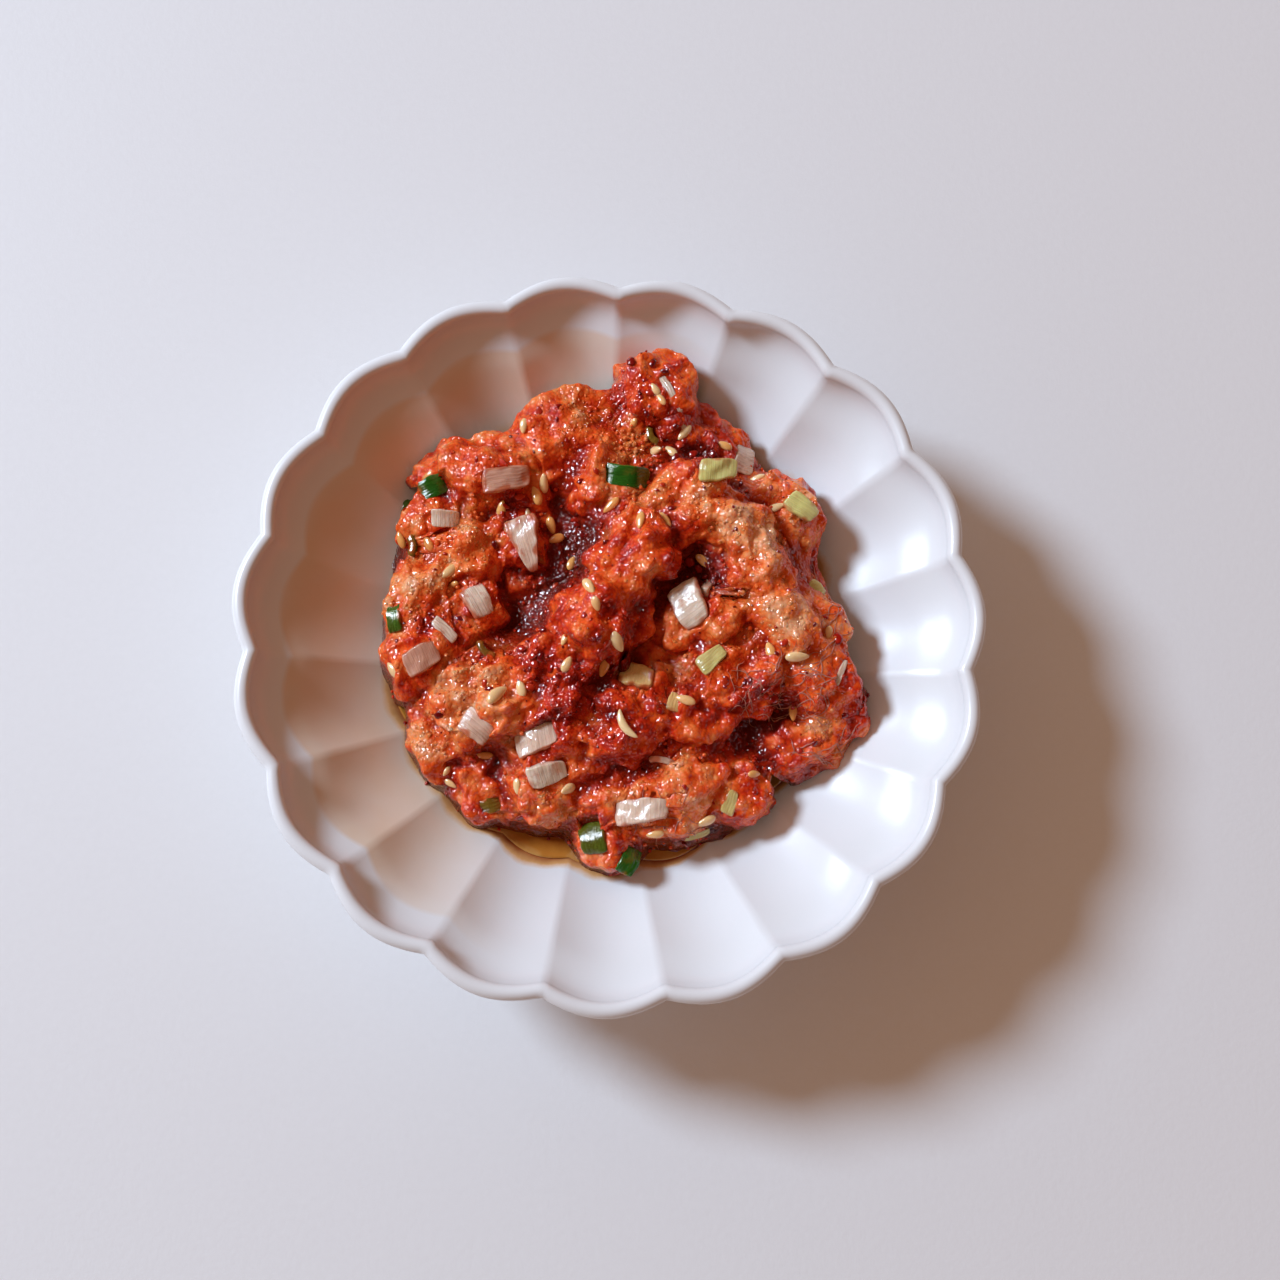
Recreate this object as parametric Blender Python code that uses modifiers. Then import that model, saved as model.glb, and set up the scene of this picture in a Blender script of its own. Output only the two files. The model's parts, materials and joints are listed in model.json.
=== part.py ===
"""A small scalloped porcelain bowl of seasoned pollock roe.

Units are metres and +Z is up. The origin is the middle of the foot ring's underside.
The bowl's rim has 19 round lobes. Inside it a heap of roe lumps stands in a pool of
red oil, dressed with slices of scallion, sesame seeds and chilli flakes. The tables
below are in millimetres and degrees.
"""

import math
import random

import bmesh
import bpy
from mathutils import Euler, Matrix, Vector, noise
from mathutils.bvhtree import BVHTree

MM = 0.001
GAP = 0.3  # clearance that neighbouring solids keep

# Bowl. Radii are those of the ridges between two lobes.
LOBES = 19
FIRST_RIDGE = math.radians(13.2)
BOWL_HEIGHT = 28.5
FLOOR_HEIGHT = 7.5
WALL_RADIUS = 52.0
WALL_RISE = 21.0
WALL_POWER = 2.8
WALL_AT_RIM = 2.5
WALL_AT_FOOT = 4.2
LIP_INNER_RADIUS = 50.7
LIP_OUTER_RADIUS = 53.0
FOOT_RADIUS = 25.0
FOOT_INNER_RADIUS = 22.0
FOOT_RECESS = 3.6
FOOT_ROUND = 0.6
FLUTE_DEPTH = 2.0
FLUTE_START = 20.0
FLUTE_FULL = 44.0
INSIDE_ROWS = (28.0, 33.0, 38.0, 43.0, 47.5)
FLOOR_ROWS = (18.0,)
OUTSIDE_ROWS = (50.0, 45.0, 38.0, 31.0, 26.0)
FOOT_FILLET = 1.5  # the outside runs into the foot over this height
SHARP_EDGE = math.radians(50)
BOWL_STEPS = 6  # facets to a lobe
FOOD_STEPS = 4
MERGE = 1e-6  # metres, for the turned profiles' seams

# Contents.
SAUCE_HEIGHT = 12.8
HEAP_FOOT_RADIUS = 28.0
HEAP_MIDDLE = (1, 3)
ABOVE_SAUCE = 2.0  # seeds, flakes and small lumps stay this far above the sauce
SEED_SIZE = (3.4, 1.9, 1.3)
SEEDS = 26
FLAKE_SIZE = (2.0, 1.5, 0.8)
FLAKES = 12
SEED_RINGS = 4
FLAKE_RINGS = 3
SCATTER_REACH = 33
SCATTER_STRAY = 2.0
GOLDEN_ANGLE = math.radians(137.5)
GARNISH_ROOM = 4.0  # seeds and flakes stay this far from a slice's middle
RANDOM_SEED = 19
FLAT_ENOUGH = math.radians(1.5)  # neighbouring faces closer than this are merged

# The lumps of roe: x, y, height of the top, half length, half width, half depth, yaw.
CORE = (1, 2, 20.5, 31, 32, 8.5, 0)
RIDGE = [
    (10.5, 20, 29, 8, 6, 7, 50),
    (4, 12.5, 30.5, 8.5, 6.5, 8.5, 60),
    (-2, 2.5, 31, 9, 7, 9, 55),
    (-8, -5, 29, 8, 6.5, 8.5, 45),
    (-13.5, -9, 27, 7.5, 6, 7, 30),
]
ARCH = [
    (13.5, 19, 28.5, 5.5, 5, 6, 0),
    (19, 16.5, 29, 6.5, 5.5, 7, -30),
    (22, 10.5, 28.5, 6, 5, 7, -70),
    (18.5, 5, 27, 6, 5, 7, 20),
]
BACK = [
    (-6.5, 31, 26.5, 9.5, 7.5, 8, 30),
    (-1, 24, 27.5, 7, 5.5, 7, 70),
    (7, 38, 27, 7.5, 6.2, 7, 95),
    (14, 31, 23, 6, 5.5, 6, 120),
    (25.5, 20.5, 24.5, 6.5, 5.5, 6, -45),
]
LEFT = [
    (-17.5, 25, 26, 8.5, 6, 7, -10),
    (-25, 26, 22, 5, 4.5, 5, 40),
    (-20.5, 13, 24.5, 8, 6.5, 7, 60),
    (-26.5, 18.5, 22, 6, 5, 5.5, 60),
    (-28, 6, 24, 7, 5.5, 7, 80),
    (-28, -2, 23.5, 6.5, 5.5, 7, 100),
]
RIGHT = [
    (26, 2, 27, 10, 7, 7.5, -50),
    (30.5, -5, 25, 6.5, 5.5, 6, -50),
    (20, -5, 25.5, 8, 6, 7, 0),
    (33, -9.5, 21.5, 5.4, 5, 4.5, -20),
    (28.5, -14.5, 20.5, 7, 5, 5, 15),
]
FRONT = [
    (2, -12, 26, 9, 7.5, 8, 10),
    (11.5, -10, 24.5, 8, 6, 7, -20),
    (-7, -15.5, 24.5, 7, 6, 7, 30),
    (10.5, -21.5, 23, 9.5, 6.5, 7, 20),
    (19.5, -22, 21, 5.2, 4.5, 4.5, 0),
    (11.5, 2, 25.5, 5.5, 4.5, 5, 0),
    (-9.5, -22.3, 22, 6, 5, 5.5, 0),
    (-1, -22.5, 21.5, 7, 5.5, 5.5, 20),
    (-0.5, -29.8, 18.6, 4.4, 3.5, 3.2, -20),
    (-19.5, -8.5, 25, 8, 7, 7.5, 20),
    (-24.5, -14.5, 21, 6.8, 5.4, 5.5, -60),
    (-18.5, -21.5, 19.8, 5.8, 4.5, 4.5, -40),
]
UNDER_SLICES = [
    (-19.5, 5.5, 22.5, 5, 4.5, 5, 0),
    (-13, 14.5, 23, 4.5, 4, 5, 0),
]
LUMPS = RIDGE + ARCH + BACK + LEFT + RIGHT + FRONT + UNDER_SLICES
LUMP_DETAIL = 4
HEAP_TRIANGLES = 3100  # what the fused lumps are thinned to before the grains go on
TILT = 25  # lumps lean by up to this many degrees
LEAN_SHIFTS = (Vector((0.5, 0, 0)), Vector((0, 0.5, 0.5)))  # where the noise gives the two leans
BOXY = 0.85  # 1 is an ellipsoid, and less is squarer
SWELLS = ((1.6, 0.30), (3.6, 0.16), (8.0, 0.07))  # how fine each noise on a lump is, and how strong
NOISE_STRIDE = Vector((7.3, 3.1, 5.7))  # from one lump's stretch of the noise to the next lump's
CORE_KEY = 99
SMALL_LUMPS = 24
SMALL_LUMP_SIZE = (2.2, 3.4)
SMALL_LUMP_REACH = 34
SMALL_LUMP_KEY = 200
SMALL_LUMP_LENGTH = 1.3
SMALL_LUMP_RISE = 0.5

# Slices of scallion and garlic that are nodes of their own:
# name, x, y, yaw, length, width, thickness, bend, width of the far end, material.
SLICES = [
    ("scallion_green_ridge", 2.5, 23.5, -5, 7.6, 3.4, 1.1, 100, 1.0, "green"),
    ("scallion_green_left", -26.5, 23, 25, 4.4, 3.4, 1.1, 90, 1.0, "green"),
    ("scallion_green_side", -32, 2.5, 95, 4.0, 2.2, 1.0, 70, 1.0, "green"),
    ("scallion_green_front", -2.7, -28.5, 100, 5.6, 4.0, 1.1, 120, 1.0, "green"),
    ("scallion_green_tip", 3.2, -32.2, 60, 4.4, 3.0, 1.1, 90, 1.0, "green"),
    ("scallion_light_green", 15.5, 24, 5, 5.6, 3.6, 2.0, 40, 0.8, "light green"),
    ("scallion_pale_sheet", 20.5, 28.5, 75, 4.6, 3.8, 0.9, 35, 0.9, "white"),
    ("scallion_yellow", 28.5, 20, -35, 4.8, 3.8, 1.5, 50, 0.7, "light green"),
    ("scallion_white_middle", 11, 4.5, -65, 6.6, 5.6, 1.6, 60, 0.8, "white"),
    ("scallion_pale_right", 14.6, -3.4, 40, 4.6, 3.2, 1.5, 40, 0.7, "light green"),
    ("garlic_middle", 3.6, -5.6, -20, 5.2, 4.4, 2.2, 20, 0.7, "garlic"),
    ("scallion_white_front", -11, -15.2, 20, 6.4, 4.0, 1.5, 55, 0.9, "white"),
    ("scallion_glossy_front", -9, -20.4, 15, 5.8, 3.6, 1.6, 45, 0.8, "white"),
    ("scallion_white_low", 4.3, -25.4, 5, 8.0, 4.0, 1.5, 60, 0.8, "white"),
    ("scallion_pink_left", -19.5, -13.6, -40, 4.8, 4.0, 1.4, 60, 0.8, "white"),
    ("scallion_grey_left", -19.5, 5.2, -60, 4.6, 4.2, 1.4, 60, 0.8, "white"),
    ("scallion_grey_upper", -24.5, 17.8, -5, 4.4, 2.8, 1.2, 60, 0.9, "white"),
    ("scallion_red_upper", -15.5, 23, 10, 7.2, 3.8, 1.4, 50, 0.9, "white"),
    ("scallion_leaf", -12.7, 13.8, -75, 8.6, 5.4, 1.4, 50, 0.3, "white"),
    ("scallion_brown_left", -27.5, -3.6, 30, 5.4, 4.2, 1.4, 55, 0.8, "white"),
]
SLICE_STEPS = 5
SLICE_RAISE = 0.35  # share of a slice's thickness that its middle stands above the roe
UPRIGHT = 0.5  # how far a slice leans back from the slope towards level
BED_MARGIN = 12  # the cutter for the bed reaches this far past the lip
BED_RISE = 8  # above the lip
BED_BOTTOM = -10
CLEAR_OF_BED = 1.5 * GAP
DROP_FROM = 100

MATERIALS = {
    "porcelain": ((0.80, 0.80, 0.82), 0.15),
    "roe": ((0.55, 0.08, 0.02), 0.25),
    "red oil": ((0.35, 0.09, 0.01), 0.08),
    "green": ((0.03, 0.16, 0.02), 0.25),
    "light green": ((0.62, 0.60, 0.20), 0.3),
    "white": ((0.72, 0.60, 0.52), 0.3),
    "garlic": ((0.80, 0.52, 0.18), 0.3),
}


def clear_scene():
    for obj in list(bpy.data.objects):
        bpy.data.objects.remove(obj, do_unlink=True)


def new_collection(name, helper=False):
    collection = bpy.data.collections.new(name)
    bpy.context.scene.collection.children.link(collection)
    collection.hide_render = helper
    return collection


def material(name):
    """The Principled material of this name, made on first use."""
    made = bpy.data.materials.get(name)
    if made is None:
        colour, roughness = MATERIALS[name]
        made = bpy.data.materials.new(name)
        made.use_nodes = True
        shader = made.node_tree.nodes["Principled BSDF"]
        shader.inputs["Base Color"].default_value = (*colour, 1)
        shader.inputs["Roughness"].default_value = roughness
        shader.inputs["Metallic"].default_value = 0
        made.diffuse_color = (*colour, 1)
    return made


def make_helper(obj):
    """Keeps an object that only cuts or joins out of the part."""
    obj.hide_render = True
    obj.display_type = "WIRE"


def put_in_mesh(bm, mesh):
    """Moves a bmesh into a mesh, its faces sorted, as some tools leave them in any order."""
    points = [vertex.co.copy() for vertex in bm.verts]
    bm.verts.index_update()
    rings = [[vertex.index for vertex in face.verts] for face in bm.faces]
    starts = [ring.index(min(ring)) for ring in rings]
    faces = sorted(ring[start:] + ring[:start] for ring, start in zip(rings, starts))
    bm.free()
    mesh.clear_geometry()
    mesh.from_pydata(points, [], faces)


def add_object(name, bm, collection, finish=None, helper=False):
    """Turns a bmesh in millimetres into an object in metres."""
    bmesh.ops.scale(bm, vec=(MM, MM, MM), verts=bm.verts)
    bmesh.ops.recalc_face_normals(bm, faces=bm.faces)
    mesh = bpy.data.meshes.new(name)
    put_in_mesh(bm, mesh)
    obj = bpy.data.objects.new(name, mesh)
    collection.objects.link(obj)
    if finish:
        mesh.materials.append(material(finish))
    if helper:
        make_helper(obj)
    return obj


def apply_modifiers(obj):
    """Replaces the object's mesh by its evaluated one."""
    graph = bpy.context.evaluated_depsgraph_get()
    mesh = bpy.data.meshes.new_from_object(obj.evaluated_get(graph))
    obj.modifiers.clear()
    obj.data = mesh


def boolean(obj, collection, operation):
    """Joins or cuts with a whole collection at once, then removes its objects."""
    modifier = obj.modifiers.new(operation.title(), "BOOLEAN")
    modifier.operation = operation
    modifier.operand_type = "COLLECTION"
    modifier.collection = collection
    modifier.solver = "EXACT"
    bpy.context.view_layer.update()
    apply_modifiers(obj)
    for used in list(collection.objects):
        bpy.data.objects.remove(used, do_unlink=True)


def smoothstep(value, low, high):
    share = min(max((value - low) / (high - low), 0.0), 1.0)
    return share * share * (3 - 2 * share)


def inside_height(radius):
    """Height of the bowl's inside along a ridge between two lobes."""
    return FLOOR_HEIGHT + WALL_RISE * (radius / WALL_RADIUS) ** WALL_POWER


def inside_slope(radius):
    share = (radius / WALL_RADIUS) ** (WALL_POWER - 1)
    return WALL_RISE * WALL_POWER / WALL_RADIUS * share


def off_inside(radius, distance):
    """The point this far along the normal of the inside, positive into the bowl."""
    slope = inside_slope(radius)
    length = math.hypot(slope, 1)
    return (radius - distance * slope / length, inside_height(radius) + distance / length)


def radius_at(height):
    """The ridge radius at which the inside reaches a height."""
    return WALL_RADIUS * ((height - FLOOR_HEIGHT) / WALL_RISE) ** (1 / WALL_POWER)


def wall_thickness(radius):
    share = smoothstep(radius, FOOT_RADIUS, WALL_RADIUS)
    return WALL_AT_FOOT + (WALL_AT_RIM - WALL_AT_FOOT) * share


def turned(name, profile, steps, collection, finish=None, helper=False):
    """Turns a closed profile of (radius, height) points, then presses the lobes."""
    mesh = bpy.data.meshes.new(name)
    points = [(radius * MM, 0, height * MM) for radius, height in profile]
    closed = profile[0][0] > 0
    edges = [(i, i + 1) for i in range(len(points) - 1)]
    if closed:
        edges.append((len(points) - 1, 0))
    mesh.from_pydata(points, edges, [])
    obj = bpy.data.objects.new(name, mesh)
    collection.objects.link(obj)
    screw = obj.modifiers.new("Turn", "SCREW")
    screw.steps = screw.render_steps = LOBES * steps
    screw.use_merge_vertices = True
    screw.merge_threshold = MERGE
    bpy.context.view_layer.update()
    apply_modifiers(obj)
    press_lobes(obj.data)
    bm = bmesh.new()
    bm.from_mesh(obj.data)
    bmesh.ops.recalc_face_normals(bm, faces=bm.faces)
    bm.to_mesh(obj.data)
    bm.free()
    if finish:
        obj.data.materials.append(material(finish))
    if helper:
        make_helper(obj)
    obj.data.shade_smooth()
    obj.data.set_sharp_from_angle(angle=SHARP_EDGE)
    return obj


def press_lobes(mesh):
    """Turns the mesh to the first ridge and pushes the lobes' middles outward."""
    turn = Matrix.Rotation(FIRST_RIDGE, 3, "Z")
    for vertex in mesh.vertices:
        radius = math.hypot(vertex.co.x, vertex.co.y)
        angle = math.atan2(vertex.co.y, vertex.co.x)
        depth = FLUTE_DEPTH * MM * smoothstep(radius / MM, FLUTE_START, FLUTE_FULL)
        if radius > 0 and vertex.co.z > FOOT_RECESS * MM:
            push = depth * abs(math.sin(LOBES * angle / 2))
            vertex.co.xy = vertex.co.xy * ((radius + push) / radius)
        vertex.co = turn @ vertex.co


def bowl_profile():
    """Down the outside from the lip, round the foot, then up the inside."""
    lip_middle = (LIP_INNER_RADIUS + LIP_OUTER_RADIUS) / 2
    lip_half = (LIP_OUTER_RADIUS - LIP_INNER_RADIUS) / 2
    lip_base = BOWL_HEIGHT - lip_half
    lip = [
        (lip_middle + lip_half * math.cos(a), lip_base + lip_half * math.sin(a))
        for a in (math.radians(angle) for angle in (90, 45, 0))
    ]
    outside = [off_inside(radius, -wall_thickness(radius)) for radius in OUTSIDE_ROWS]
    foot_top = outside[-1][1] - FOOT_FILLET
    foot = [
        (FOOT_RADIUS, foot_top),
        (FOOT_RADIUS - FOOT_ROUND / 2, FOOT_ROUND),
        (FOOT_RADIUS - FOOT_ROUND * 1.5, 0),
        (FOOT_INNER_RADIUS + FOOT_ROUND, 0),
        (FOOT_INNER_RADIUS - FOOT_ROUND, FOOT_RECESS),
        (0, FOOT_RECESS),
    ]
    inside = [(r, inside_height(r)) for r in (0, *FLOOR_ROWS, *INSIDE_ROWS)]
    inside.append((LIP_INNER_RADIUS, lip_base))
    corner = lip_half * math.cos(math.radians(45))
    inside.append((lip_middle - corner, lip_base + corner))
    return lip + outside + foot + inside


def contents_bed():
    """Everything below the heap: the bowl with its clearance, and the sauce."""
    shore = radius_at(SAUCE_HEIGHT)
    top = SAUCE_HEIGHT + GAP
    lip = off_inside(LIP_INNER_RADIUS, GAP)
    side = LIP_INNER_RADIUS + BED_MARGIN
    profile = [(side, lip[1] + BED_RISE), (side, BED_BOTTOM), (0, BED_BOTTOM), (0, FLOOR_HEIGHT + GAP)]
    profile += [off_inside(radius, GAP) for radius in (*FLOOR_ROWS, HEAP_FOOT_RADIUS)]
    profile += [(profile[-1][0], top), (shore - GAP, top)]
    profile += [off_inside(radius, GAP) for radius in INSIDE_ROWS if radius > shore] + [lip]
    return profile


def sauce_profile():
    """A ring from the heap's foot to the wall, level on top."""
    shore = radius_at(SAUCE_HEIGHT)
    inner = HEAP_FOOT_RADIUS + GAP
    slope = inside_slope(shore)
    profile = [(shore - GAP * math.hypot(slope, 1) / slope, SAUCE_HEIGHT)]
    profile += [off_inside(r, GAP) for r in reversed(INSIDE_ROWS) if inner < r < shore]
    profile += [off_inside(inner + GAP, GAP), (inner, SAUCE_HEIGHT)]
    return profile


def lump(row, key, detail):
    """A rough, slightly boxy lump of roe. The key picks its own stretch of the noise."""
    x, y, top, length, width, depth, yaw = row
    bm = bmesh.new()
    bmesh.ops.create_icosphere(bm, subdivisions=detail, radius=1)
    offset = NOISE_STRIDE * key
    lean = [math.radians(TILT) * noise.noise(offset + shift) for shift in LEAN_SHIFTS]
    turn = Euler((*lean, math.radians(yaw))).to_matrix()
    for vertex in bm.verts:
        way = vertex.co.normalized()
        boxy = Vector([math.copysign(abs(part) ** BOXY, part) for part in way])
        swell = 1 + sum(amount * noise.noise(way * fine + offset) for fine, amount in SWELLS)
        reach = Vector((boxy.x * length, boxy.y * width, boxy.z * depth)) * swell
        vertex.co = turn @ reach + Vector((x, y, top - depth))
    return bm


def heap_of_lumps(part):
    """The core with every lump fused on, then thinned."""
    pieces = new_collection("Roe lumps", helper=True)
    for key, row in enumerate(LUMPS):
        add_object(f"Lump {key}", lump(row, key, LUMP_DETAIL), pieces, helper=True)
    heap = add_object("roe", lump(CORE, CORE_KEY, LUMP_DETAIL), part, "roe")
    boolean(heap, pieces, "UNION")
    keep_largest(heap)
    thin = heap.modifiers.new("Thin", "DECIMATE")
    thin.ratio = HEAP_TRIANGLES / len(heap.data.polygons)
    apply_modifiers(heap)
    return heap, pieces


def surface_of(obj):
    """A tree for finding the surface under a point."""
    bm = bmesh.new()
    bm.from_mesh(obj.data)
    tree = BVHTree.FromBMesh(bm)
    bm.free()
    return tree


def drop(tree, x, y):
    """Where a vertical line meets the surface, in metres, with the normal there."""
    point, normal, _, _ = tree.ray_cast(Vector((x, y, DROP_FROM)) * MM, Vector((0, 0, -1)))
    return point, normal


def stand(point, normal, yaw):
    """A frame on the surface: +Z leans with the slope, +X follows the yaw."""
    up = normal.lerp(Vector((0, 0, 1)), UPRIGHT).normalized()
    along = Vector((math.cos(yaw), math.sin(yaw), 0))
    along = (along - up * along.dot(up)).normalized()
    frame = Matrix((along, up.cross(along), up)).transposed().to_4x4()
    return Matrix.Translation(point) @ frame


def bed_height(point):
    """Height that food keeps above the sauce and the bowl's ridges, in metres."""
    radius = math.hypot(point.x, point.y) / MM
    return (max(SAUCE_HEIGHT, inside_height(radius)) + CLEAR_OF_BED) * MM


def slice_mesh(length, width, thickness, bend, far_end, extra):
    """A strip bent along its length, in millimetres, grown by extra on every side."""
    bm = bmesh.new()
    bmesh.ops.create_grid(bm, x_segments=SLICE_STEPS, y_segments=1, size=0.5)
    radius = length / math.radians(bend)
    outer = radius + thickness / 2 + extra
    for vertex in bm.verts:
        share = vertex.co.x + 0.5
        angle = (share - 0.5) * (length + 2 * extra) / radius
        half = width * (1 + (far_end - 1) * share) / 2 + extra
        side = math.copysign(half, vertex.co.y)
        vertex.co = (outer * math.sin(angle), side, outer * math.cos(angle) - radius)
    bmesh.ops.recalc_face_normals(bm, faces=bm.faces)
    bmesh.ops.solidify(bm, geom=bm.faces[:], thickness=thickness + 2 * extra)
    return bm


def slice_rise(length, thickness, bend):
    """How far the crown of a slice's middle surface stands above the roe."""
    arc = math.radians(bend)
    sag = length / arc * (1 - math.cos(arc / 2))
    return SLICE_RAISE * thickness + sag / 2


def place_slices(tree, part, cutters):
    """Each slice as its own object, with a slightly larger cutter for its bed."""
    for name, x, y, yaw, length, width, thickness, bend, far_end, finish in SLICES:
        point, normal = drop(tree, x, y)
        frame = stand(point, normal, math.radians(yaw))
        lift = 0
        for extra in (0, GAP):
            bm = slice_mesh(length, width, thickness, bend, far_end, extra)
            rise = slice_rise(length, thickness, bend)
            bmesh.ops.translate(bm, verts=bm.verts, vec=(0, 0, rise))
            if extra:
                obj = add_object(name + " bed", bm, cutters, helper=True)
            else:
                obj = add_object(name, bm, part, finish)
            obj.data.transform(frame)
            if not extra:
                short = [bed_height(vertex.co) - vertex.co.z for vertex in obj.data.vertices]
                lift = max(0, *short)
            obj.data.transform(Matrix.Translation((0, 0, lift)))


def grain(size, rings):
    """A small pointed ellipsoid, in millimetres."""
    bm = bmesh.new()
    bmesh.ops.create_uvsphere(bm, u_segments=6, v_segments=rings, radius=0.5)
    bmesh.ops.rotate(bm, verts=bm.verts, matrix=Matrix.Rotation(math.pi / 2, 3, "Y"))
    for vertex in bm.verts:
        narrow = 1 - 0.5 * max(vertex.co.x, 0)
        vertex.co.y *= narrow * size[1]
        vertex.co.z *= narrow * size[2]
        vertex.co.x *= size[0]
    return bm


def bare_spot(tree, x, y, room):
    """The surface under a place well above the sauce with this much room to the slices, or None."""
    point, normal = drop(tree, x, y)
    near = min(math.hypot(x - row[1], y - row[2]) for row in SLICES)
    if near < room or point is None or point.z < (SAUCE_HEIGHT + ABOVE_SAUCE) * MM:
        return None
    return point, normal


def scatter(tree, pieces, rng, count, size, rings, label):
    """Grains on a sunflower spiral over the heap, kept away from the slices."""
    for index in range(count):
        reach = SCATTER_REACH * math.sqrt((index + 0.5) / count)
        stray = [rng.uniform(-SCATTER_STRAY, SCATTER_STRAY) for _ in range(2)]
        x = HEAP_MIDDLE[0] + reach * math.cos(index * GOLDEN_ANGLE) + stray[0]
        y = HEAP_MIDDLE[1] + reach * math.sin(index * GOLDEN_ANGLE) + stray[1]
        yaw = rng.uniform(0, math.tau)
        spot = bare_spot(tree, x, y, GARNISH_ROOM)
        if spot:
            obj = add_object(f"{label} {index}", grain(size, rings), pieces, helper=True)
            obj.data.transform(stand(*spot, yaw))


def small_lumps(tree, pieces, rng):
    """Small lumps that roughen the heap."""
    for index in range(SMALL_LUMPS):
        angle = rng.uniform(0, math.tau)
        reach = SMALL_LUMP_REACH * math.sqrt(rng.random())
        x = HEAP_MIDDLE[0] + reach * math.cos(angle)
        y = HEAP_MIDDLE[1] + reach * math.sin(angle)
        size = rng.uniform(*SMALL_LUMP_SIZE)
        spot = bare_spot(tree, x, y, GARNISH_ROOM + size)
        if spot:
            top = spot[0].z / MM + size * SMALL_LUMP_RISE
            row = (x, y, top, size * SMALL_LUMP_LENGTH, size, size, math.degrees(angle))
            add_object(f"Small lump {index}", lump(row, SMALL_LUMP_KEY + index, 1), pieces, helper=True)


def keep_largest(obj):
    """Drops loose scraps and fills sealed hollows: only the largest shell stays."""
    bm = bmesh.new()
    bm.from_mesh(obj.data)
    bmesh.ops.dissolve_limit(bm, angle_limit=FLAT_ENOUGH, verts=bm.verts, edges=bm.edges)
    bmesh.ops.triangulate(bm, faces=bm.faces)
    shells = []
    seen = set()
    for first in bm.faces:
        if first in seen:
            continue
        seen.add(first)
        shell = [first]
        for face in shell:
            new = [other for edge in face.edges for other in edge.link_faces if other not in seen]
            seen.update(new)
            shell += dict.fromkeys(new)
        shells.append(shell)
    largest = max(shells, key=len)
    spare = [face for shell in shells if shell is not largest for face in shell]
    if spare:
        bmesh.ops.delete(bm, geom=spare, context="FACES")
    put_in_mesh(bm, obj.data)
    obj.data.materials.clear()
    obj.data.materials.append(material("roe"))
    for face in obj.data.polygons:
        face.material_index = 0


def main():
    clear_scene()
    part = new_collection("Bowl of seasoned pollock roe")
    cutters = new_collection("Cutters", helper=True)
    rng = random.Random(RANDOM_SEED)

    turned("bowl", bowl_profile(), BOWL_STEPS, part, "porcelain")
    turned("sauce", sauce_profile(), FOOD_STEPS, part, "red oil")

    heap, pieces = heap_of_lumps(part)
    bare = surface_of(heap)
    place_slices(bare, part, cutters)
    small_lumps(bare, pieces, rng)
    scatter(bare, pieces, rng, SEEDS, SEED_SIZE, SEED_RINGS, "Seed")
    scatter(bare, pieces, rng, FLAKES, FLAKE_SIZE, FLAKE_RINGS, "Flake")
    boolean(heap, pieces, "UNION")
    turned("Bed", contents_bed(), FOOD_STEPS, cutters, helper=True)
    boolean(heap, cutters, "DIFFERENCE")
    keep_largest(heap)


main()
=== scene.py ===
import json
import math
import random

import bmesh
import bpy
import numpy as np
from mathutils import Euler, Matrix, Vector, noise
from mathutils.bvhtree import BVHTree

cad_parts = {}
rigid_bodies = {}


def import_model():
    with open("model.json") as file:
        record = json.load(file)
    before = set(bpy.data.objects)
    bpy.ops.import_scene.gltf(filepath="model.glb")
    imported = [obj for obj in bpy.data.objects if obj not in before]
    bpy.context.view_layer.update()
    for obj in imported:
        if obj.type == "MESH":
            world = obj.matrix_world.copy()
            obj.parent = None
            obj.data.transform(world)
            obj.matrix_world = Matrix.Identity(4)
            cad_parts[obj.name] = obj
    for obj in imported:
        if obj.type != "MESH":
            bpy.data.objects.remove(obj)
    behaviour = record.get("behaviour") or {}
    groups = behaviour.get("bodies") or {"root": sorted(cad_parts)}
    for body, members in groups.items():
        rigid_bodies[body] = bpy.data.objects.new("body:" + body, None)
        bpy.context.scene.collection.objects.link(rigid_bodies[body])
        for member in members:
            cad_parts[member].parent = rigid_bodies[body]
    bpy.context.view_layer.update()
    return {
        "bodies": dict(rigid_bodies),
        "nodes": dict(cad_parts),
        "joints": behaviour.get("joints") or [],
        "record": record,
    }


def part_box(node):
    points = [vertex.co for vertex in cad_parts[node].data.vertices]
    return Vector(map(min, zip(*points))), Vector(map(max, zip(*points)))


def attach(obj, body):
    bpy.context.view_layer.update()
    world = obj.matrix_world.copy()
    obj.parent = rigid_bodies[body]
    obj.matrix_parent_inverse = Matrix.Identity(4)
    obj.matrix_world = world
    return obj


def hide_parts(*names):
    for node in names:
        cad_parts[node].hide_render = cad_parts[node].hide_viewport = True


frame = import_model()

MM = 0.001

# The bowl, in millimetres, as the solid has it. Radii are those of the ridges.
BOWL_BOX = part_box("bowl")
BOWL_HEIGHT = BOWL_BOX[1][2] / MM
SAUCE_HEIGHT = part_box("sauce")[1][2] / MM
LOBES = 19
FIRST_RIDGE = math.radians(13.2)
FLOOR_HEIGHT = 7.5
WALL_RADIUS = 52.0
WALL_RISE = 21.0
WALL_POWER = 2.8
WALL_AT_RIM = 2.5
WALL_AT_FOOT = 4.2
LIP_INNER_RADIUS = 50.7
LIP_OUTER_RADIUS = 53.0
FOOT_RADIUS = 25.0
FOOT_INNER_RADIUS = 22.0
FOOT_RECESS = 3.6
FLUTE_DEPTH = 2.0
FLUTE_START = 20.0
FLUTE_FULL = 44.0
BOWL_STEPS = 20
BEND_RADIUS = 44.0  # from here the wall bends up into the lip
BEND_STEEP = 78
AXIS_RADIUS = 0.01  # rings this small are merged to one point on the axis
# Painted warm shade on the inside wall on the window's side, where the rim shades it.
WALL_SHADE_MIDDLE, WALL_SHADE_HALF = 160, 95  # degrees round the bowl
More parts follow.
